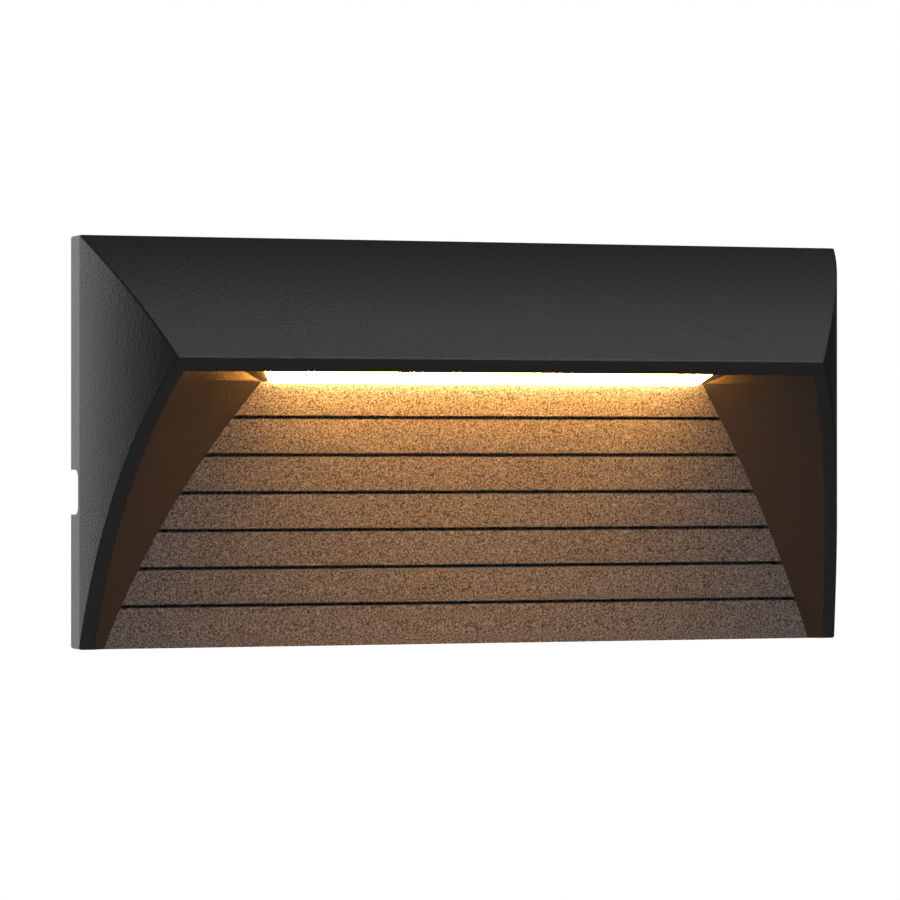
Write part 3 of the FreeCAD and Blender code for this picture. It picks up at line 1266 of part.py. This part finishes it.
def make_housing_screws():
    """Two screws with a hexagon socket from below, at the rim's lower corners."""
    low = FOOT_COUNTERBORE - M3 * HEAD_THICKNESS
    screws = []
    for side in (1, -1):
        x = side * FOOT_SCREW_X
        head = post(x, FOOT_SCREW_DEPTH, M3 * HEAD_RATIO, low, FOOT_COUNTERBORE)
        shank = post(x, FOOT_SCREW_DEPTH, M3, FOOT_COUNTERBORE, FOOT_WALL + 2 * PLATE_THICKNESS)
        screws.append(head.fuse(shank).cut(hexagon_socket(x, FOOT_SCREW_DEPTH, low)))
    return Part.makeCompound(screws)


def make_wall_seal():
    return seal_run(0)


# ---- write every piece ------------------------------------------------------------------------------------
def make_all():
    nodes = {
        "housing": make_housing(),
        "grooved_panel": make_grooved_panel(),
        "panel_screws": make_panel_screws(),
        "diffuser": make_diffuser(),
        "diffuser_gasket": make_diffuser_gasket(),
        "led_board": make_led_board(),
        "leds": make_leds(),
        "led_board_screws": make_led_board_screws(),
        "thermal_pad": make_thermal_pad(),
        "led_carrier": make_led_carrier(),
        "led_carrier_screws": make_led_carrier_screws(),
        "led_chamber_gasket": make_led_chamber_gasket(),
        "led_chamber_cover": make_led_chamber_cover(),
        "led_chamber_screws": make_led_chamber_screws(),
        "lead_grommet": make_lead_grommet(),
        "driver_case": make_driver_case(),
        "driver_lid": make_driver_lid(),
        "driver_board": make_driver_board(),
        "driver_transformer": make_driver_transformer(),
        "driver_capacitor": make_driver_capacitor(),
        "driver_inductor": make_driver_inductor(),
        "driver_screws": make_driver_screws(),
        "terminal_block": make_terminal_block(),
        "terminal_clamps": make_terminal_clamps(),
        "terminal_clamp_screws": make_terminal_clamp_screws(),
        "terminal_block_screws": make_terminal_block_screws(),
        "earth_tag": make_earth_tag(),
        "earth_screw": make_earth_screw(),
        "mounting_plate": make_mounting_plate(),
        "cable_grommet": make_cable_grommet(),
        "housing_screws": make_housing_screws(),
        "wall_seal": make_wall_seal(),
    }
    for name, (points, radius) in {**led_routes(), **mains_routes()}.items():
        nodes[name] = lead(points, radius, name)
    nodes["earth_lead"] = lead(earth_route(), MAINS_LEAD_RADIUS, "earth_lead")
    return nodes


os.makedirs("parts", exist_ok=True)
for node, shape in make_all().items():
    print(f"{node}: {len(shape.Solids)} solid(s), {shape.Volume:.1f} mm3, valid {shape.isValid()}")
    shape.exportStep(f"parts/{node}.step")
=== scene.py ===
# %% [markdown]
# # A hooded step light, dressed for its photograph
# The construction is already made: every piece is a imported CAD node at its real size. What is
# left is how each surface looks, and the light that shows it. Nothing here moves or resizes a CAD
# piece.

import math

import bpy
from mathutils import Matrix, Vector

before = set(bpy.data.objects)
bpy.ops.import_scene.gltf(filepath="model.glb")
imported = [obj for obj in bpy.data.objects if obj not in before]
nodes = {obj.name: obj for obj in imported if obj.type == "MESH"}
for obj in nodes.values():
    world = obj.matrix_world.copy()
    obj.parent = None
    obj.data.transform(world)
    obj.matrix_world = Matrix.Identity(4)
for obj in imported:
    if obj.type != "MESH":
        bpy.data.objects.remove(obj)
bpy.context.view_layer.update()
MM = 0.001

# %% [markdown]
# ## Two helpers
# Paint is chosen on a screen, so its hex code is in sRGB; a shader works in linear light and
# needs it turned. Every material below is a handful of nodes, and one function that adds a node,
# sets it and wires it keeps each recipe readable as a list.


# %% Colour and node helpers
def linear(code):
    """A hex colour as linear red, green, blue and an alpha of 1."""
    parts = [int(code[i:i + 2], 16) / 255 for i in (1, 3, 5)]
    return [p / 12.92 if p <= 0.04045 else ((p + 0.055) / 1.055) ** 2.4 for p in parts] + [1.0]


def add(tree, kind, inputs=None, links=None, **settings):
    """One node with its settings, the values on its sockets and the outputs that feed them."""
    node = tree.nodes.new(kind)
    for name, value in settings.items():
        setattr(node, name, value)
    for name, value in (inputs or {}).items():
        node.inputs[name].default_value = value
    for name, source in (links or {}).items():
        tree.links.new(source, node.inputs[name])
    return node


print("mid grey", [round(v, 3) for v in linear("#808080")])

# %% [markdown]
# ## The camera
# The light is seen slightly from the left, level with its middle, through a long lens: the left
# rim is only 7 percent taller than the right one. That ratio, the light's width and the angle
# give the distance. The horizon lies a few pixels under the picture's middle, which a small
# upward shift makes.

# %% Camera
PICTURE = 900                        # pixels, both ways
VIEW_ANGLE = math.radians(20.0)      # left of square on
CAMERA_PLACE = (-0.4051, -1.1063, -0.0030)
FOCAL_PIXELS = 4276.7
HORIZON_ROW = 453.7
SENSOR = 36.0

camera_data = bpy.data.cameras.new("camera")
camera_data.sensor_width = SENSOR
camera_data.lens = FOCAL_PIXELS * SENSOR / PICTURE
camera_data.shift_y = (HORIZON_ROW - PICTURE / 2) / PICTURE
camera = bpy.data.objects.new("camera", camera_data)
camera.location = CAMERA_PLACE
camera.rotation_euler = (math.pi / 2, 0.0, -VIEW_ANGLE)
bpy.context.collection.objects.link(camera)
bpy.context.scene.camera = camera
bpy.context.scene.view_settings.view_transform = "Standard"
print("lens", round(camera_data.lens, 1), "mm")

# %% [markdown]
# ## Stage
# A white sweep behind and a pale floor well below give a plain ground. The sweep stops a little
# to the right of the light. A dark, slightly rough paint shows its surroundings at a glancing
# angle, and in the photograph the left flank mirrors white while the right one stays dark.

# %% Floor, backdrop and world
FLOOR_DROP = 1.45
BACKDROP_Y = 1.6
BACKDROP_LEFT = -4.0
BACKDROP_RIGHT = 1.2
BACKDROP_TOP = 1.0
FLOOR_REACH = 4.0
WORLD_LEVEL = 0.01


def sheet(name, corners):
    """A flat stage piece between four corners."""
    mesh = bpy.data.meshes.new(name)
    mesh.from_pydata(corners, [], [(0, 1, 2, 3)])
    made = bpy.data.objects.new(name, mesh)
    bpy.context.collection.objects.link(made)
    return made


def seen_or_mirrored(tree):
    """1 where a ray comes from the camera, a gloss or a clear body."""
    path = add(tree, "ShaderNodeLightPath")
    both = add(tree, "ShaderNodeMath", operation="MAXIMUM",
               links={0: path.outputs["Is Camera Ray"], 1: path.outputs["Is Glossy Ray"]})
    return add(tree, "ShaderNodeMath", operation="MAXIMUM",
               links={0: both.outputs[0], 1: path.outputs["Is Transmission Ray"]})


def white_sweep():
    """A sweep that shows as white without adding light to the object."""
    made = bpy.data.materials.new("white_sweep")
    made.use_nodes = True
    tree = made.node_tree
    tree.nodes.clear()
    cloth = add(tree, "ShaderNodeBsdfDiffuse", {"Color": linear("#f4f4f2")})
    glow = add(tree, "ShaderNodeEmission", {"Strength": 1.0})
    mix = add(tree, "ShaderNodeMixShader",
              links={0: seen_or_mirrored(tree).outputs[0], 1: cloth.outputs[0], 2: glow.outputs[0]})
    add(tree, "ShaderNodeOutputMaterial", links={"Surface": mix.outputs[0]})
    return made


sweep = sheet("backdrop", [(BACKDROP_LEFT, BACKDROP_Y, -FLOOR_DROP),
                           (BACKDROP_RIGHT, BACKDROP_Y, -FLOOR_DROP),
                           (BACKDROP_RIGHT, BACKDROP_Y, BACKDROP_TOP),
                           (BACKDROP_LEFT, BACKDROP_Y, BACKDROP_TOP)])
sweep.data.materials.append(white_sweep())

signs = [(-1, -1), (1, -1), (1, 1), (-1, 1)]
floor = sheet("floor", [(x * FLOOR_REACH, y * FLOOR_REACH, -FLOOR_DROP) for x, y in signs])
floor_paint = bpy.data.materials.new("pale_floor")
floor_paint.use_nodes = True
floor_shader = floor_paint.node_tree.nodes["Principled BSDF"]
floor_shader.inputs["Base Color"].default_value = linear("#ececea")
floor.data.materials.append(floor_paint)

world = bpy.data.worlds.new("studio")
bpy.context.scene.world = world
world.use_nodes = True
tree = world.node_tree
tree.nodes.clear()
path = add(tree, "ShaderNodeLightPath")
room = add(tree, "ShaderNodeBackground", {"Strength": WORLD_LEVEL})
seen = add(tree, "ShaderNodeBackground", {"Strength": 1.0})
mix = add(tree, "ShaderNodeMixShader",
          links={0: path.outputs["Is Camera Ray"], 1: room.outputs[0], 2: seen.outputs[0]})
add(tree, "ShaderNodeOutputWorld", links={"Surface": mix.outputs[0]})
print("stage", sweep.name, floor.name, "room level", WORLD_LEVEL)

# %% [markdown]
# ## Lamps
# The lip of the hood is brighter than its top, so the key softbox hangs high, in front and to the
# right. A tall, narrow one stands in front: the rounded edge of the lip mirrors it as a thin
# line. A weak one below keeps the underside from going black. The edge softbox stands behind on
# the left. It grazes the rim and the cheek, brightest where they turn away, and leaves the front
# of the cheek dark.


# %% Softboxes
def softbox(name, place, aim, width, height, watts):
    """An area lamp at a place, turned towards its aim."""
    data = bpy.data.lights.new(name, "AREA")
    data.shape = "RECTANGLE"
    data.size = width
    data.size_y = height
    data.energy = watts
    lamp = bpy.data.objects.new(name, data)
    lamp.location = place
    way = [a - p for a, p in zip(aim, place)]
    lamp.rotation_euler = Vector(way).to_track_quat("-Z", "Y").to_euler()
    lamp.visible_camera = False
    bpy.context.collection.objects.link(lamp)
    return lamp


LIGHT_MIDDLE = (0.0, -0.02, 0.0)
# each lamp's place, aim, width and height in metres, and its power in watts
key = softbox("key", (0.55, -0.71, 1.56), LIGHT_MIDDLE, 1.1, 1.1, 8.4)
front = softbox("front", (0.63, -1.40, 0.92), LIGHT_MIDDLE, 0.4, 1.0, 8.5)
low = softbox("low", (0.0, -1.56, -0.9), LIGHT_MIDDLE, 1.2, 1.2, 2.0)
edge = softbox("edge", (-1.05, 0.98, 0.41), LIGHT_MIDDLE, 1.3, 1.3, 10.7)
print("lamps", key.name, front.name, low.name, edge.name)

# %% [markdown]
# ## Paint, castings and rubber
# Each finish is named for the real one. Patterns are sized in millimetres: a coordinate in metres
# times one over the grain's size gives one pattern cell per grain.


# %% A shader to start from
def finish(name, colour, roughness, metallic=0.0, ior=1.5):
    """A named material with its shader set, and the place on the piece in metres."""
    made = bpy.data.materials.new(name)
    made.use_nodes = True
    tree = made.node_tree
    shader = tree.nodes["Principled BSDF"]
    shader.inputs["Base Color"].default_value = linear(colour)
    shader.inputs["Roughness"].default_value = roughness
    shader.inputs["Metallic"].default_value = metallic
    if not metallic:
        shader.inputs["IOR"].default_value = ior
    place = add(tree, "ShaderNodeTexCoord").outputs["Object"]
    return made, tree, shader, place


def wear(name, piece_nodes, made):
    """Give a finish to every slot of the named CAD nodes."""
    for node in piece_nodes:
        for slot in nodes[node].material_slots:
            slot.material = made
    print(name, "on", ", ".join(piece_nodes))


# %% [markdown]
# ### Powder coat on the die casting
# A powder coat is sprayed dry and melted in an oven. It flows into a skin of low, rounded bumps
# under a millimetre apart. The paint is almost black, so nearly all that shows is what the skin
# mirrors: broad and soft, with the bumps showing where the light grazes. The casting's edges hold
# a small radius, and there the molten coat draws back: it sets thinner, smoother and glossier
# than on the flats.

# %% Powder coat
COAT_GRAIN = 0.55 * MM
COAT_RELIEF = 0.18 * MM
COAT_ROUGHNESS = (0.47, 0.53)       # drifts between these from place to place
COAT_DRIFT = 9 * MM                 # how far apart the glossier places lie
EDGE_SOFTNESS = 0.6 * MM            # radius that the casting's edges keep under the coat
EDGE_TURN = (0.998, 0.97)           # cosine of how far a normal has turned: still flat, full edge
EDGE_ROUGHNESS = 0.25               # the drawn-back coat on a full edge
EDGE_GRAIN = 0.1                    # how much of the bumps is left there


def powder_coat():
    made, tree, shader, place = finish("powder_coat_on_die_cast_aluminium", "#272727", 0.5)
    grain = add(tree, "ShaderNodeTexNoise",
                {"Scale": 1 / COAT_GRAIN, "Detail": 2.0, "Roughness": 0.55}, {"Vector": place})
    drift = add(tree, "ShaderNodeTexNoise", {"Scale": 1 / COAT_DRIFT, "Detail": 3.0},
                {"Vector": place})
    rough = add(tree, "ShaderNodeMapRange",
                {"To Min": COAT_ROUGHNESS[0], "To Max": COAT_ROUGHNESS[1]},
                {"Value": drift.outputs["Fac"]})
    edge = add(tree, "ShaderNodeBevel", {"Radius": EDGE_SOFTNESS}, samples=4)
    face = add(tree, "ShaderNodeNewGeometry")
    turn = add(tree, "ShaderNodeVectorMath", operation="DOT_PRODUCT",
               links={0: face.outputs["Normal"], 1: edge.outputs[0]})
    level = add(tree, "ShaderNodeMapRange",
                {"From Min": EDGE_TURN[0], "From Max": EDGE_TURN[1],
                 "To Min": 1.0, "To Max": EDGE_GRAIN},
                {"Value": turn.outputs["Value"]})
    bump = add(tree, "ShaderNodeBump", {"Distance": COAT_RELIEF},
               {"Strength": level.outputs["Result"], "Height": grain.outputs["Fac"],
                "Normal": edge.outputs[0]})
    thin = add(tree, "ShaderNodeMapRange",
               {"From Min": EDGE_TURN[0], "From Max": EDGE_TURN[1], "To Max": EDGE_ROUGHNESS},
               {"Value": turn.outputs["Value"], "To Min": rough.outputs["Result"]})
    tree.links.new(thin.outputs["Result"], shader.inputs["Roughness"])
    tree.links.new(bump.outputs["Normal"], shader.inputs["Normal"])
    return made


wear("powder coat", ["housing"], powder_coat())

# %% [markdown]
# ### Sanded coat on the grooved panel
# The panel wears a coarser grey coat with mineral grains in it, like fine sandpaper. The grains
# are half a millimetre across, pale and nearly black mixed, and they stand proud, so the strip
# above rakes across them. All the warmth on the panel comes from the strip: the coat itself is
# neutral.

# %% Sanded coat
SAND_GRAIN = 0.5 * MM
SAND_RELIEF = 0.09 * MM
SAND_DARK = (0.38, "#222324")       # noise at and below which a grain is nearly black
SAND_PALE = (0.64, "#888b91")       # noise at and above which it is pale


def sanded_coat():
    made, tree, shader, place = finish("sanded_powder_coat", "#686868", 0.55)
    sand = add(tree, "ShaderNodeTexNoise",
               {"Scale": 1 / SAND_GRAIN, "Detail": 3.0, "Roughness": 0.65}, {"Vector": place})
    tone = add(tree, "ShaderNodeValToRGB", links={"Fac": sand.outputs["Fac"]})
    for stop, (level, colour) in zip(tone.color_ramp.elements, (SAND_DARK, SAND_PALE)):
        stop.position = level
        stop.color = linear(colour)
    bump = add(tree, "ShaderNodeBump", {"Strength": 1.0, "Distance": SAND_RELIEF},
               {"Height": sand.outputs["Fac"]})
    tree.links.new(tone.outputs["Color"], shader.inputs["Base Color"])
    tree.links.new(bump.outputs["Normal"], shader.inputs["Normal"])
    return made


wear("sanded coat", ["grooved_panel"], sanded_coat())

# %% [markdown]
# ### Opal acrylic over warm lamps
# The diffuser is milky acrylic, and the warm white lamps behind it make it the brightest thing in
# the picture. It is drawn as its own glow, which lights the panel as the real strip does. The
# lamps stand in one row, so the middle of the strip is brightest across its width. Its side
# towards the panel has less acrylic for the light to pass, so it glows whiter, and it alone
# reaches the very top of the panel. The row of lamps stops short of the diffuser's ends, so both
# ends glow less.

# %% Opal diffuser
STRIP_MIDDLE = "#ff9d34"
STRIP_SIDE = "#ffbd68"
STRIP_LEVEL = 185.0                 # of the middle of the strip
SIDE_SHARE = 0.6                    # how bright its sides are beside that
END_FADE = (45.0, 66.0)             # mm from the middle, where the last lamps are passed
END_SHARE = 0.65                    # how bright the strip's ends are beside its middle
STRIP_RUN = (0.7, 9.5)              # mm out from the panel's top edge, along the ceiling
CEILING_TILT = math.radians(35)
PANEL_TOP = (-21.8, 16.3)           # mm, the panel's top edge: Y and Z
OPAL_ROUGHNESS = (0.3, 0.4)
OPAL_CLOUD = 4 * MM                 # size of the cloudy patches in the acrylic's skin


def along_ceiling(tree, place):
    """How far a place lies out from the panel's top edge, in metres."""
    way = (0.0, -math.cos(CEILING_TILT), math.sin(CEILING_TILT))
    start = way[1] * PANEL_TOP[0] + way[2] * PANEL_TOP[1]
    dot = add(tree, "ShaderNodeVectorMath", {1: way}, {0: place}, operation="DOT_PRODUCT")
    return add(tree, "ShaderNodeMath", {1: start * MM}, {0: dot.outputs["Value"]},
               operation="SUBTRACT")


def opal_acrylic():
    made, tree, shader, place = finish("opal_acrylic_lit", "#f2efe6", 0.35, ior=1.49)
    cloud = add(tree, "ShaderNodeTexNoise", {"Scale": 1 / OPAL_CLOUD, "Detail": 1.0},
                {"Vector": place})
    rough = add(tree, "ShaderNodeMapRange",
                {"To Min": OPAL_ROUGHNESS[0], "To Max": OPAL_ROUGHNESS[1]},
                {"Value": cloud.outputs["Fac"]})
    tree.links.new(rough.outputs["Result"], shader.inputs["Roughness"])
    run = add(tree, "ShaderNodeMapRange",
              {"From Min": STRIP_RUN[0] * MM, "From Max": STRIP_RUN[1] * MM},
              {"Value": along_ceiling(tree, place).outputs[0]})
    glow = add(tree, "ShaderNodeValToRGB", links={"Fac": run.outputs["Result"]})
    glow.color_ramp.interpolation = "EASE"
    side = [SIDE_SHARE * v for v in linear(STRIP_SIDE)[:3]] + [1.0]
    glow.color_ramp.elements[0].color = side
    glow.color_ramp.elements[1].color = side
    glow.color_ramp.elements.new(0.5).color = linear(STRIP_MIDDLE)
    across = add(tree, "ShaderNodeSeparateXYZ", links={0: place})
    from_middle = add(tree, "ShaderNodeMath", operation="ABSOLUTE",
                      links={0: across.outputs["X"]})
    fade = add(tree, "ShaderNodeMapRange",
               {"From Min": END_FADE[0] * MM, "From Max": END_FADE[1] * MM,
                "To Min": 1.0, "To Max": END_SHARE},
               {"Value": from_middle.outputs[0]}, interpolation_type="SMOOTHSTEP")
    faded = add(tree, "ShaderNodeVectorMath", operation="SCALE",
                links={0: glow.outputs["Color"], "Scale": fade.outputs["Result"]})
    tree.links.new(faded.outputs[0], shader.inputs["Emission Color"])
    shader.inputs["Emission Strength"].default_value = STRIP_LEVEL
    return made


wear("opal acrylic", ["diffuser"], opal_acrylic())

# %% [markdown]
# ### Rubber and silicone
# Seals and grommets are moulded EPDM or silicone: no gloss, a faint chalky bloom and a fine mould
# grain.


# %% Seals
RUBBER_ROUGHNESS = (0.7, 0.9)
RUBBER_BLOOM = 2.5 * MM             # size of the chalky patches
RUBBER_GRAIN = 0.4 * MM
RUBBER_RELIEF = 0.01 * MM


def moulded_rubber(name, colour):
    made, tree, shader, place = finish(name, colour, 0.8, ior=1.52)
    bloom = add(tree, "ShaderNodeTexNoise", {"Scale": 1 / RUBBER_BLOOM, "Detail": 4.0},
                {"Vector": place})
    rough = add(tree, "ShaderNodeMapRange",
                {"To Min": RUBBER_ROUGHNESS[0], "To Max": RUBBER_ROUGHNESS[1]},
                {"Value": bloom.outputs["Fac"]})
    grain = add(tree, "ShaderNodeTexNoise", {"Scale": 1 / RUBBER_GRAIN, "Detail": 2.0},
                {"Vector": place})
    bump = add(tree, "ShaderNodeBump", {"Strength": 1.0, "Distance": RUBBER_RELIEF},
               {"Height": grain.outputs["Fac"]})
    tree.links.new(rough.outputs["Result"], shader.inputs["Roughness"])
    tree.links.new(bump.outputs["Normal"], shader.inputs["Normal"])
    return made


wear("EPDM rubber", ["wall_seal", "cable_grommet", "lead_grommet"],
     moulded_rubber("epdm_rubber", "#1f1f20"))
wear("silicone", ["diffuser_gasket", "led_chamber_gasket"],
     moulded_rubber("grey_silicone", "#a4a6a5"))
wear("thermal pad", ["thermal_pad"], moulded_rubber("soft_thermal_pad", "#8a8f96"))

# %% [markdown]
# ## Metals
# ### Zinc-plated sheet
# The mounting plate is punched and folded from steel sheet and zinc plated: a cool, bright grey
# with spangled patches a few millimetres wide, each a slightly different roughness.


# %% Zinc plate
SPANGLE = 3.5 * MM
ZINC_ROUGHNESS = (0.3, 0.46)
SHEET_EDGE = 0.2 * MM               # radius left by the punch


def zinc_plate():
    made, tree, shader, place = finish("zinc_plated_steel", "#b9bdc1", 0.38, metallic=1.0)
    spangle = add(tree, "ShaderNodeTexVoronoi", {"Scale": 1 / SPANGLE, "Randomness": 1.0},
                  {"Vector": place})
    rough = add(tree, "ShaderNodeMapRange",
                {"To Min": ZINC_ROUGHNESS[0], "To Max": ZINC_ROUGHNESS[1]},
                {"Value": spangle.outputs["Color"]})
    tone = add(tree, "ShaderNodeValToRGB", links={"Fac": spangle.outputs["Color"]})
    tone.color_ramp.elements[0].color = linear("#aeb2b6")
    tone.color_ramp.elements[1].color = linear("#c6cacd")
    edge = add(tree, "ShaderNodeBevel", {"Radius": SHEET_EDGE}, samples=4)
    tree.links.new(tone.outputs["Color"], shader.inputs["Base Color"])
    tree.links.new(rough.outputs["Result"], shader.inputs["Roughness"])
    tree.links.new(edge.outputs[0], shader.inputs["Normal"])
    return made


wear("zinc plate", ["mounting_plate", "terminal_clamp_screws"], zinc_plate())

# %% [markdown]
# ### Stainless screws, mill-finish aluminium and turned brass
# A rolled or turned surface carries fine parallel lines. They are drawn by stretching a noise
# along one way: long along the lines, a tenth of a millimetre across them.


# %% Lined metals
LINE_SPREAD = 0.07                  # roughness to either side of a metal's own
LINE_RELIEF = 0.004 * MM


def lined_metal(name, colour, roughness, stretch):
    """A metal with fine lines; `stretch` says how long a line is each way, in millimetres."""
    made, tree, shader, place = finish(name, colour, roughness, metallic=1.0)
    scaled = add(tree, "ShaderNodeMapping", {"Scale": [1 / (s * MM) for s in stretch]},
                 {"Vector": place})
    lines = add(tree, "ShaderNodeTexNoise", {"Scale": 1.0, "Detail": 2.0},
                {"Vector": scaled.outputs[0]})
    rough = add(tree, "ShaderNodeMapRange",
                {"To Min": roughness - LINE_SPREAD, "To Max": roughness + LINE_SPREAD},
                {"Value": lines.outputs["Fac"]})
    bump = add(tree, "ShaderNodeBump", {"Strength": 1.0, "Distance": LINE_RELIEF},
               {"Height": lines.outputs["Fac"]})
    tree.links.new(rough.outputs["Result"], shader.inputs["Roughness"])
    tree.links.new(bump.outputs["Normal"], shader.inputs["Normal"])
    return made


SCREWS = ["housing_screws", "panel_screws", "led_board_screws", "led_carrier_screws",
          "led_chamber_screws", "driver_screws", "terminal_block_screws", "earth_screw"]
wear("stainless", SCREWS, lined_metal("stainless_steel", "#a9a8a4", 0.3, (0.3, 0.3, 0.1)))
wear("aluminium", ["led_carrier", "led_chamber_cover"],
     lined_metal("mill_finish_aluminium", "#d2d4d6", 0.34, (12.0, 0.12, 0.12)))
wear("brass", ["terminal_clamps"], lined_metal("turned_brass", "#c9a45c", 0.28, (1.0, 1.0, 0.1)))
wear("tinned brass", ["earth_tag"], lined_metal("tinned_brass", "#c4c2b8", 0.33, (0.5, 0.5, 0.2)))

# %% [markdown]
# ## Boards, lamps and plastics inside
# These sit behind the cover and the plate, and show only when the light is taken apart. Solder
# mask is a glossy lacquer over a faint glass weave; moulded plastic has a fine spark-eroded
# grain.


# %% Inner finishes
BOARD_WEAVE = 3.0 * MM
BOARD_RELIEF = 0.004 * MM
PLASTIC_GRAIN = 0.35                # mm, of a spark-eroded mould
PLASTIC_RELIEF = 0.012 * MM


def solder_mask(name, colour):
    made, tree, shader, place = finish(name, colour, 0.25, ior=1.55)
    weave = add(tree, "ShaderNodeTexWave", {"Scale": 1 / BOARD_WEAVE, "Distortion": 0.4},
                {"Vector": place})
    bump = add(tree, "ShaderNodeBump", {"Strength": 1.0, "Distance": BOARD_RELIEF},
               {"Height": weave.outputs["Fac"]})
    tree.links.new(bump.outputs["Normal"], shader.inputs["Normal"])
    return made


def moulded_plastic(name, colour, roughness=0.5, grain_size=PLASTIC_GRAIN, ior=1.53):
    made, tree, shader, place = finish(name, colour, roughness, ior=ior)
    grain = add(tree, "ShaderNodeTexNoise", {"Scale": 1 / (grain_size * MM), "Detail": 2.0},
                {"Vector": place})
    bump = add(tree, "ShaderNodeBump", {"Strength": 1.0, "Distance": PLASTIC_RELIEF},
               {"Height": grain.outputs["Fac"]})
    tree.links.new(bump.outputs["Normal"], shader.inputs["Normal"])
    return made


wear("white solder mask", ["led_board"], solder_mask("white_solder_mask", "#eef0ee"))
wear("green solder mask", ["driver_board"], solder_mask("green_solder_mask", "#1f6b3c"))
wear("phosphor", ["leds"], moulded_plastic("phosphor_gel", "#f0c552", 0.4, 0.2, 1.41))
wear("driver plastic", ["driver_case", "driver_lid"],
     moulded_plastic("polycarbonate_case", "#dcdcd8", 0.45))
wear("polyamide", ["terminal_block"], moulded_plastic("polyamide_block", "#e4e3dd", 0.4))
wear("ferrite", ["driver_transformer", "driver_inductor"],
     moulded_plastic("sintered_ferrite", "#3b3937", 0.65, 0.15))
wear("can", ["driver_capacitor"], moulded_plastic("heat_shrunk_sleeve", "#2b3a5c", 0.3, 0.6))

# %% [markdown]
# ### Leads
# PVC insulation is extruded, so it is smooth and satin. The earth lead carries a yellow stripe,
# drawn by bands across its short run.


# %% PVC leads
STRIPE_SCALE = 7 * MM


def pvc(name, colour):
    return moulded_plastic(name, colour, 0.35, 0.8, 1.54)


def striped_pvc():
    made, tree, shader, place = finish("green_and_yellow_pvc", "#3f9a3a", 0.35, ior=1.54)
    bands = add(tree, "ShaderNodeTexWave", {"Scale": 1 / STRIPE_SCALE}, {"Vector": place},
                bands_direction="X")
    tone = add(tree, "ShaderNodeValToRGB", links={"Fac": bands.outputs["Fac"]})
    tone.color_ramp.interpolation = "CONSTANT"
    tone.color_ramp.elements[0].color = linear("#2f8f3a")
    tone.color_ramp.elements[1].position = 0.6
    tone.color_ramp.elements[1].color = linear("#e6cf2a")
    tree.links.new(tone.outputs["Color"], shader.inputs["Base Color"])
    return made


wear("live", ["live_lead"], pvc("brown_pvc", "#5c3420"))
wear("neutral", ["neutral_lead"], pvc("blue_pvc", "#2a62b0"))
wear("positive", ["led_lead_positive"], pvc("red_pvc", "#b02020"))
wear("negative", ["led_lead_negative"], pvc("black_pvc", "#202022"))
wear("earth", ["earth_lead"], striped_pvc())

# %% [markdown]
# ## Finishes in use
# The finishes now on the CAD nodes are gathered and counted.

# %% Count the finishes in use
dressed = {slot.material.name for node in nodes.values() for slot in node.material_slots}
print("finishes in use", len(dressed))
